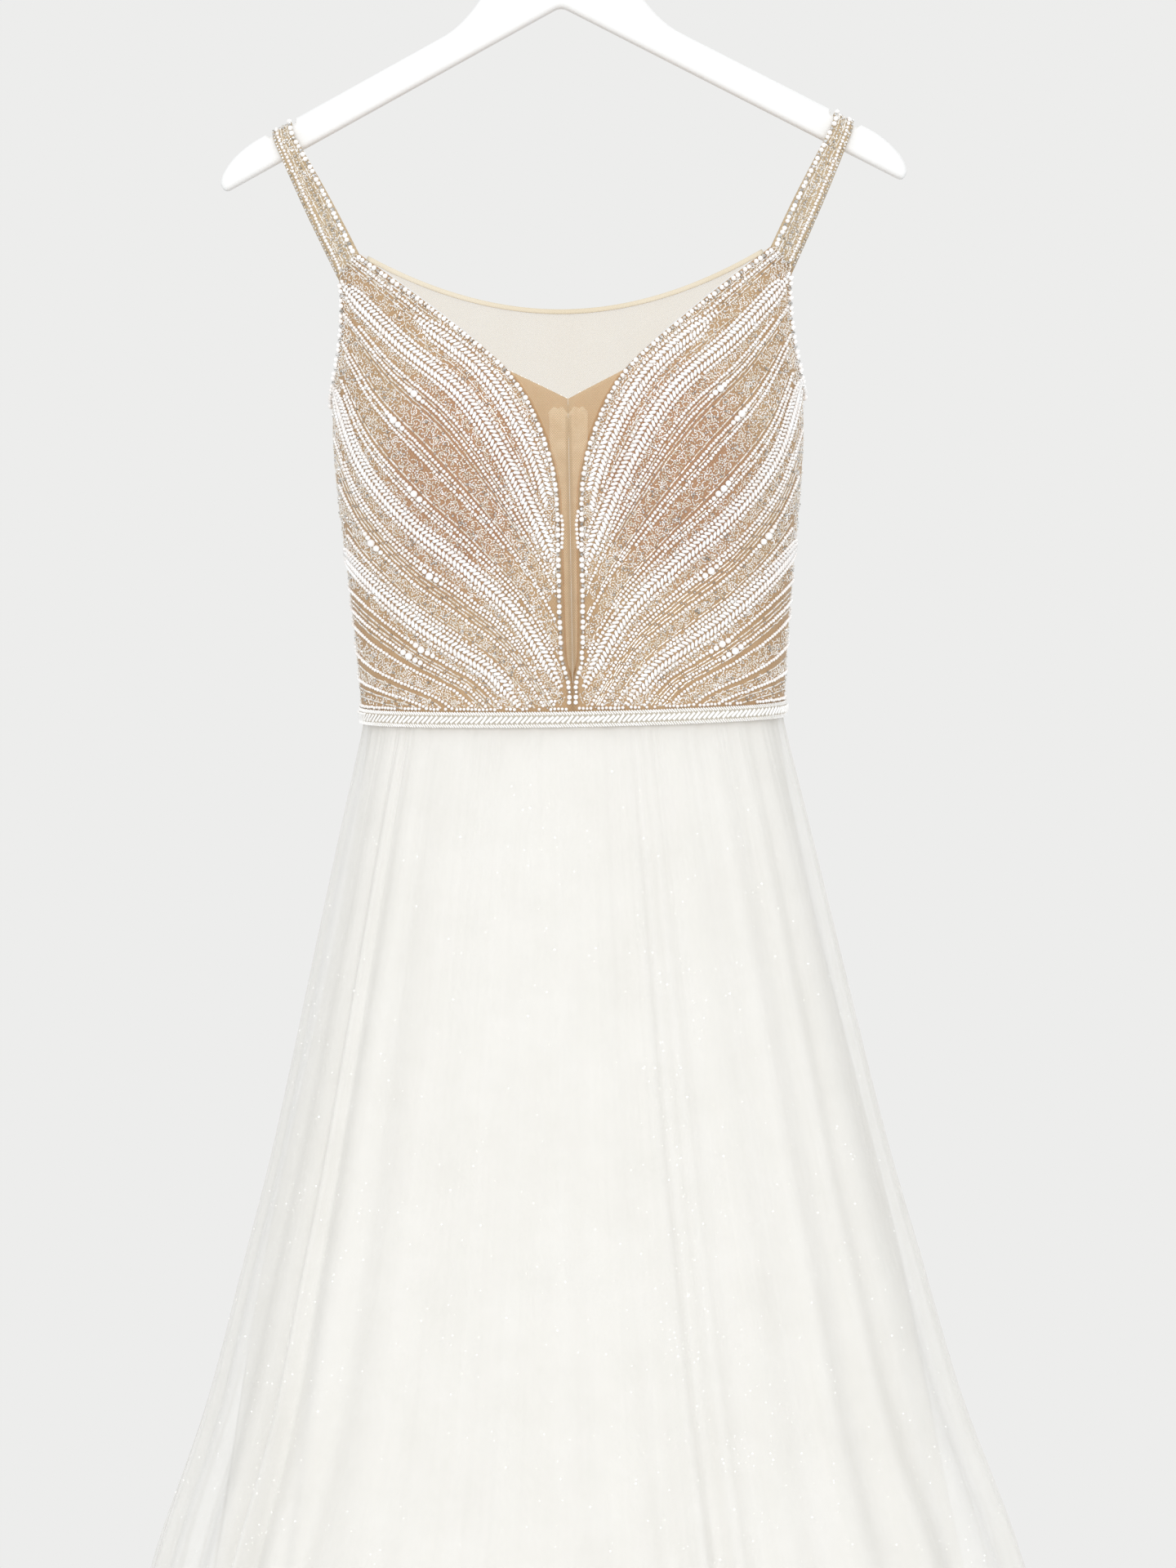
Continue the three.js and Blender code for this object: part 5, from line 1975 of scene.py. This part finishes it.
@dataclass
class SkirtLayer:
    """One gathered layer of the skirt, in a front and a back half."""

    form: GownForm
    name: str
    slot: str
    finish: Finish
    folds: int
    hem: float
    sections: SmoothTable
    steps_per_fold: int
    rows: int
    wall: float
    thick: bool
    flat: Pair
    area: float
    gather: float
    dent: float
    length: float = 1107.0
    trim: float = 0.012
    row_crowding: float = 1.35
    lift_steps: Pair = (0.01, -1e-3)

    def surface(self, fold: Array, share: Array) -> Array:
        """Find points of the layer.

        Args:
            fold: Number of the fold round the skirt.
            share: Share of its length below the waist.

        Returns:
            The points.
        """
        turn = fold / self.folds
        drift = 0.009 * np.sin(10 * np.pi * turn + 1.1) + 0.004 * np.sin(22 * np.pi * turn + 0.4)
        angle = 2 * np.pi * (turn + drift)
        drop = share * self.length
        columns = ("half", "front", "back", "fold")
        half, front, back, depth = (self.sections.at(name, drop) for name in columns)
        top = self.form.waist(angle) - self.form.seam_gap / 2
        x, y = self.form.ring(half, front, back, angle)
        reach = np.where(np.cos(angle) > 0, front, back)
        out = unit(np.stack((np.sin(angle) / half, -np.cos(angle) / reach), axis=-1))
        wave = depth * self.fold_wave(fold, turn, share) + self.creases(fold, turn, drop)
        z = top + (self.hem - top) * share
        return np.stack((x + out[..., 0] * wave, y + out[..., 1] * wave, z), axis=-1)

    def fold_wave(self, fold: Array, turn: Array, share: Array) -> Array:
        """Give the long folds, uneven in depth and a little pinched.

        Args:
            fold: Number of the fold.
            turn: Share of a turn round the skirt.
            share: Share of the length.

        Returns:
            Their wave, from about -1 to 1.
        """
        uneven = 0.75 + 0.25 * np.sin(14 * np.pi * turn + 0.8)
        sway = 0.16 * np.sin(2 * np.pi * (1.3 * share + 6 * turn)) * soft_step(0.1, 0.6, share)
        phase = 2 * np.pi * (fold + sway)
        pinch = np.cos(2 * phase + 2.2 + 5 * np.sin(6 * np.pi * turn))
        return uneven * (0.9 * np.cos(phase) + 0.1 * pinch)

    def creases(self, fold: Array, turn: Array, drop: Array) -> Array:
        """Give the fine gathers below the waist and the soft dents lower down.

        Args:
            fold: Number of the fold.
            turn: Share of a turn round the skirt.
            drop: Distance below the waist.

        Returns:
            How far they stand out.
        """
        full = 2 * np.pi * turn
        fade = 38 + 30 * np.sin(23 * full + 0.6) * np.sin(9 * full + 2.0)
        lines = np.cos(6 * np.pi * fold + 2.1 * np.sin(17 * full) + 1.3 * np.sin(41 * full + 1.0))
        gathers = self.gather * lines * np.exp(-drop / fade) * soft_step(0.0, 14.0, drop)
        dents = np.sin(13 * full + drop / 170) * np.sin(7 * full - drop / 240 + 1.0)
        return gathers + self.dent * dents * soft_step(60, 500, drop)

    def lifted(self, fold: Array, share: Array, lift: float) -> Arrays:
        """Find points outside the layer, and the outward normals."""
        return lift_from(self.surface, fold, share, self.lift_steps, lift)

    def build(self) -> None:
        """Make the front half and the back half."""
        self.half("front", -self.folds / 4)
        self.half("back", self.folds / 4)

    def half(self, end: str, first: float) -> None:
        """Make one half, from side seam to side seam.

        Args:
            end: Whether it is the front or the back.
            first: The fold that it starts at.
        """
        span = self.folds / 2
        across = np.linspace(self.trim, span - self.trim, int(span * self.steps_per_fold) + 1)
        rows = np.linspace(0, 1, self.rows + 1) ** self.row_crowding
        share, fold = np.meshgrid(rows, first + across, indexing="ij")
        points, normals = self.lifted(fold, share, 0.5 * self.wall)
        flat = np.stack((across * np.ones_like(share) / span * self.flat[0], share * self.flat[1]), axis=-1)
        half = make_grid(f"{self.name}_{end}_cloth", points, normals, flat)
        if self.thick:
            thicken(half, self.wall)
        adopt(half, [self.finish] * (2 if self.thick else 1), [f"{self.name}_{end}"])


@dataclass
class Glitter:
    """Glitter flakes on the outside of the overlay, in drifts that thicken towards the hem."""

    layer: SkirtLayer
    count: int = 7500
    size: Pair = (0.8, 1.5)
    seed: int = 77
    drifts: int = 260
    spread: Pair = (0.35, 0.05)
    loose_share: float = 0.45
    reach: Pair = (0.03, 0.995)
    lift: float = 0.15
    tilt: float = 0.35

    def build(self) -> None:
        """Scatter the flakes."""
        chance = np.random.default_rng(self.seed)
        folds, drifts = self.layer.folds, self.drifts
        centres = np.stack((chance.uniform(0, folds, drifts), chance.beta(1.7, 1.0, drifts)))
        drift = chance.integers(0, drifts, self.count)
        fold = centres[0, drift] + chance.normal(0, self.spread[0], self.count)
        share = centres[1, drift] + chance.normal(0, self.spread[1], self.count)
        loose = chance.random(self.count) < self.loose_share
        fold = np.where(loose, chance.uniform(0, folds, self.count), fold)
        share = np.where(loose, chance.beta(1.4, 1.0, self.count), share)
        kept = (share > self.reach[0]) & (share < self.reach[1])
        points, normals = self.layer.lifted(fold[kept], share[kept], self.layer.wall / 2 + self.lift)
        tray = BeadTray()
        tilts = unit(normals + chance.normal(0, self.tilt, normals.shape))
        sizes = chance.uniform(*self.size, len(points))
        spins = chance.normal(0, 1, normals.shape)
        for point, normal, spin, size in zip(points, tilts, spins, sizes):
            tray.lay(BeadShape.FLAKE, point, np.cross(normal, spin), normal, np.full(3, size))
        adopt(tray.piece("skirt_glitter"), [GLITTER])


# The hanger

@dataclass
class Hanger:
    """The white wooden hanger, cut from a board and rounded, with its wire hook."""

    apex: float = -107.0
    crown: float = -62.0
    thickness: float = 12.0
    edge_round: float = 3.2
    slope: float = math.radians(28)
    arm_length: float = 255.0
    arm_width: float = 20.0
    notch: tuple[float, float, float, float] = (191.5, 210.5, 2.8, 2.0)
    apex_round: float = 5.0
    tip_round: float = 5.0
    fin_bend: tuple[Pair, Pair, Pair] = ((1.0, 0.3), (5.0, 0.7), (22.0, 1.0))
    fin_start: float = 217.0
    flare_start: float = 80.0
    flare_bend: tuple[Pair, Pair] = ((58, -115.2), (52, -96))
    shoulder: Pair = (34.0, -76.0)
    crown_flat: Pair = (24.0, 8.0)
    wire: float = 2.0
    wire_round: float = 1.2
    hook_inside: float = 21.0
    hook_turn: Pair = (math.radians(195), math.radians(-50))
    hook_stem: tuple[Pair, ...] = ((7.5, -44.6), (1.6, -50), (0, -57), (0, -66), (0, -85.7))

    def arm(self, along: float, above: float) -> Array:
        """Give the x and z of a point along the right arm and above its lower edge."""
        cos, sin = math.cos(self.slope), math.sin(self.slope)
        return np.array((along * cos + above * sin, self.apex - along * sin + above * cos))

    def outline(self) -> Array:
        """Draw the right arm's outline from the apex round the tip to the crown.

        Returns:
            Its points.
        """
        def bend(*controls: Array, steps: int = 20) -> list[Array]:
            """Draw a curve over its control points."""
            shares = np.linspace(0, 1, steps + 1)[1:]
            order = len(controls) - 1
            return [
                sum(
                    math.comb(order, k) * (1 - s) ** (order - k) * s**k * np.asarray(control, float)
                    for k, control in enumerate(controls)
                )
                for s in shares
            ]

        length, width = self.arm_length, self.arm_width
        start, end, deep, slant = self.notch
        low = self.arm(self.apex_round, 0)
        under = np.array((0.0, low[1] + (self.arm(0, 0)[1] - low[1]) * 0.5))
        points = bend(under, (0.5 * low[0], under[1]), low, steps=8)
        points.append(self.arm(length - self.tip_round, 0))
        tip, *fin = (self.arm(length - short, share * width) for short, share in self.fin_bend)
        points += bend(points[-1], self.arm(length, 0), tip, steps=8)
        points += bend(tip, *fin, self.arm(self.fin_start, width))
        points += [self.arm(end + slant, width), self.arm(end, width - deep)]
        points += [self.arm(start, width - deep), self.arm(start - slant, width)]
        points.append(self.arm(self.flare_start, width))
        points += bend(points[-1], *self.flare_bend, self.shoulder)
        flat = [(place, self.crown) for place in self.crown_flat]
        points += bend(self.shoulder, *flat, steps=14)
        return np.array([under, *points])

    def build(self) -> None:
        """Make the wood and the hook."""
        self.wood()
        self.hook()

    def wood(self) -> None:
        """Draw the board out to its thickness and round its edges."""
        right = self.outline()
        left = right[1:][::-1] * (-1, 1)
        ring = np.vstack((right, left)) * MM
        pick_none()
        bpy.ops.mesh.primitive_circle_add(vertices=len(ring), radius=0.1, fill_type="NGON")
        wood = bpy.context.object
        wood.name = "hanger_wood"
        for vertex, (x, z) in zip(wood.data.vertices, ring):
            vertex.co = (x, -0.5 * self.thickness * MM, z)
        bpy.ops.object.mode_set(mode="EDIT")
        bpy.ops.mesh.select_all(action="SELECT")
        bpy.ops.mesh.extrude_region_move(TRANSFORM_OT_translate={"value": (0, self.thickness * MM, 0)})
        bpy.ops.mesh.select_all(action="SELECT")
        bpy.ops.mesh.normals_make_consistent(inside=False)
        bpy.ops.object.mode_set(mode="OBJECT")
        finish_with(
            wood, "BEVEL", width=self.edge_round * MM, segments=5, limit_method="ANGLE",
            angle_limit=math.radians(60), use_clamp_overlap=True,
        )
        pick(wood)
        bpy.ops.object.shade_smooth_by_angle(angle=math.radians(32))
        adopt(wood, [WHITE_PAINT], ["hanger"])

    def hook(self) -> None:
        """Draw the wire along the bend, the S and the stem."""
        radius = self.hook_inside + self.wire
        turns = np.linspace(*self.hook_turn, 13)
        bend = np.stack(
            (radius * np.cos(turns), 0 * turns, radius * np.sin(turns) - self.hook_inside), axis=1
        )
        stem = np.array([(x, 0.0, z) for x, z in self.hook_stem])
        points = PathCurve(np.vstack((bend, stem))).at(np.linspace(0, 1, 150)) * MM
        pick_none()
        bpy.ops.curve.primitive_nurbs_path_add()
        hook = bpy.context.object
        hook.name = "hanger_hook_wire"
        curve = hook.data
        curve.splines.clear()
        spline = curve.splines.new("POLY")
        spline.points.add(len(points) - 1)
        spline.points.foreach_set("co", np.column_stack((points, np.ones(len(points)))).ravel())
        curve.dimensions = "3D"
        curve.bevel_depth = self.wire * MM
        curve.bevel_resolution = 5
        curve.use_fill_caps = True
        pick(hook)
        bpy.ops.object.convert(target="MESH")
        hook = bpy.context.object
        finish_with(hook, "WELD", merge_threshold=1e-6)
        finish_with(
            hook, "BEVEL", width=self.wire_round * MM, segments=4, limit_method="ANGLE",
            angle_limit=math.radians(50),
        )
        pick(hook)
        bpy.ops.object.shade_smooth_by_angle(angle=math.radians(40))
        adopt(hook, [BRIGHT_WIRE], ["hanger_hook"])


# Light and camera

@dataclass
class Studio:
    """A pale floor, soft light and the camera at the photograph's angle."""

    floor_height: float = -1.683
    floor_radius: float = 1.5
    distance: float = 3.0
    eye: Pair = (0.009, -0.622)
    roll: float = math.radians(1.0)
    lens: float = 104.0
    sky: tuple[str, str] = ("#C8C9C9", "#EDEEEF")
    sky_range: Pair = (-0.9, 0.9)
    backdrop: str = "#EDEDEC"
    lamp_aim: Triple = (0.0, 0.0, -0.65)
    lamps: tuple[tuple[str, Triple, float, float], ...] = (
        ("key", (-0.75, -3.1, 0.1), 2.0, 24.0),
        ("fill", (0.85, -3.1, -0.25), 2.0, 18.0),
        ("rim", (0.9, 2.0, 0.7), 1.2, 14.0),
    )

    def build(self) -> None:
        """Set up the floor, the lights, the surroundings and the camera."""
        self.floor()
        self.surroundings()
        for lamp in self.lamps:
            self.lamp(*lamp)
        self.camera()

    def floor(self) -> None:
        """Lay a round pale floor under the hem."""
        pick_none()
        bpy.ops.mesh.primitive_circle_add(
            vertices=96, radius=self.floor_radius, fill_type="NGON", location=(0, 0, self.floor_height)
        )
        floor = bpy.context.object
        floor.name = "floor"
        bpy.ops.object.transform_apply(location=True)
        floor.data.materials.append(FLOOR_PAINT.material())

    def surroundings(self) -> None:
        """Surround the gown with pale light that darkens downwards."""
        world = bpy.data.worlds.new("studio")
        bpy.context.scene.world = world
        world.use_nodes = True
        nodes = Nodes(world.node_tree)
        place = nodes.add("ShaderNodeTexCoord")
        up = nodes.add("ShaderNodeSeparateXYZ", {0: place.outputs["Generated"]})
        height = nodes.scaled(up.outputs["Z"], *self.sky_range, 0.0, 1.0)
        light = nodes.mixed(height, *map(colour, self.sky))
        path = nodes.add("ShaderNodeLightPath")
        seen = nodes.mixed(path.outputs["Is Camera Ray"], light, colour(self.backdrop))
        nodes.feed(world.node_tree.nodes["Background"].inputs["Color"], seen)
        scene = bpy.context.scene
        scene.view_settings.view_transform = "Standard"
        scene.cycles.transparent_max_bounces = 24

    def lamp(self, name: str, place: Triple, size: float, power: float) -> None:
        """Hang a square soft light that looks at the gown.

        Args:
            name: Its name.
            place: Where it hangs.
            size: Its side.
            power: Its power in watts.
        """
        data = bpy.data.lights.new(name, "AREA")
        data.energy = power
        data.size = size
        lamp = link(name, data)
        way = np.array(self.lamp_aim) - place
        turn = math.atan2(way[0], -way[1])
        lean = math.atan2(math.hypot(way[0], way[1]), -way[2])
        aim = Matrix.Rotation(turn + math.pi, 4, "Z") @ Matrix.Rotation(lean, 4, "X")
        lamp.matrix_world = Matrix.Translation(place) @ aim

    def camera(self) -> None:
        """Set the camera level in front, rolled a little."""
        data = bpy.data.cameras.new("camera")
        data.sensor_width = 36.0
        data.lens = self.lens
        camera = link("camera", data)
        camera.matrix_world = (
            Matrix.Translation((self.eye[0], -self.distance, self.eye[1]))
            @ Matrix.Rotation(math.pi / 2, 4, "X")
            @ Matrix.Rotation(-self.roll, 4, "Z")
        )
        bpy.context.scene.camera = camera


def overlay_layer(form: GownForm) -> SkirtLayer:
    """Give the sheer outer layer of the skirt."""
    sections = SmoothTable(
        ("half", "front", "back", "fold"),
        (
            (0, 138, 60.6, 55, 0.5),
            (8, 138.3, 61, 55.5, 0.6),
            (30, 143, 67, 62, 1.1),
            (71, 152.5, 76, 71, 1.6),
            (152, 170.5, 92, 87, 2.3),
            (287, 201, 113, 109, 3.1),
            (363, 221, 124, 121, 3.7),
            (457, 246, 139, 137, 5.2),
            (560, 282, 157, 156, 7.2),
            (1107, 431, 236, 244, 18),
        ),
    )
    return SkirtLayer(
        form, "skirt_overlay", "sheer_tulle", SKIRT_TULLE, 36, -1680.0, sections,
        steps_per_fold=20, rows=72, wall=1.0, thick=False, flat=(1.5, 1.13), area=1.0, gather=0.5, dent=1.0,
    )


def underskirt_layer(form: GownForm) -> SkirtLayer:
    """Give the closed inner layer of the skirt."""
    sections = SmoothTable(
        ("half", "front", "back", "fold"),
        (
            (0, 134, 56, 50.5, 0.3),
            (20, 136, 60, 55, 0.5),
            (71, 143.5, 69, 64, 1),
            (152, 159, 82, 77, 1.5),
            (359, 206, 110, 107, 3),
            (565, 243, 134, 133, 4.5),
            (1107, 356, 198, 205, 9),
        ),
    )
    return SkirtLayer(
        form, "underskirt", "ivory_cloth", UNDERSKIRT_SATIN, 24, -1660.0, sections,
        steps_per_fold=12, rows=44, wall=1.2, thick=True, flat=(1.15, 1.1), area=0.8, gather=0.3, dent=0.5,
    )


def main() -> None:
    """Build the gown from the hanger down, then light it."""
    logging.basicConfig(level=logging.INFO, format="%(name)s: %(message)s")
    form = GownForm()
    Studio().build()
    Hanger().build()
    for side_name in SIDES:
        Cup(form, side_name).build()
        BodicePanel(form, side_name, is_back=False).build()
        BodicePanel(form, side_name, is_back=True).build()
        Strap(form, side_name).build()
    PlungeMesh(form).build()
    Zip(form).build()
    WaistBelt(form).build()
    underskirt_layer(form).build()
    overlay = overlay_layer(form)
    overlay.build()
    Glitter(overlay).build()
    left = [name for name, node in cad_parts.items() if not node.hide_render]
    LOG.info("solids still shown: %s", ", ".join(left) or "none")


if __name__ == "__main__":
    main()
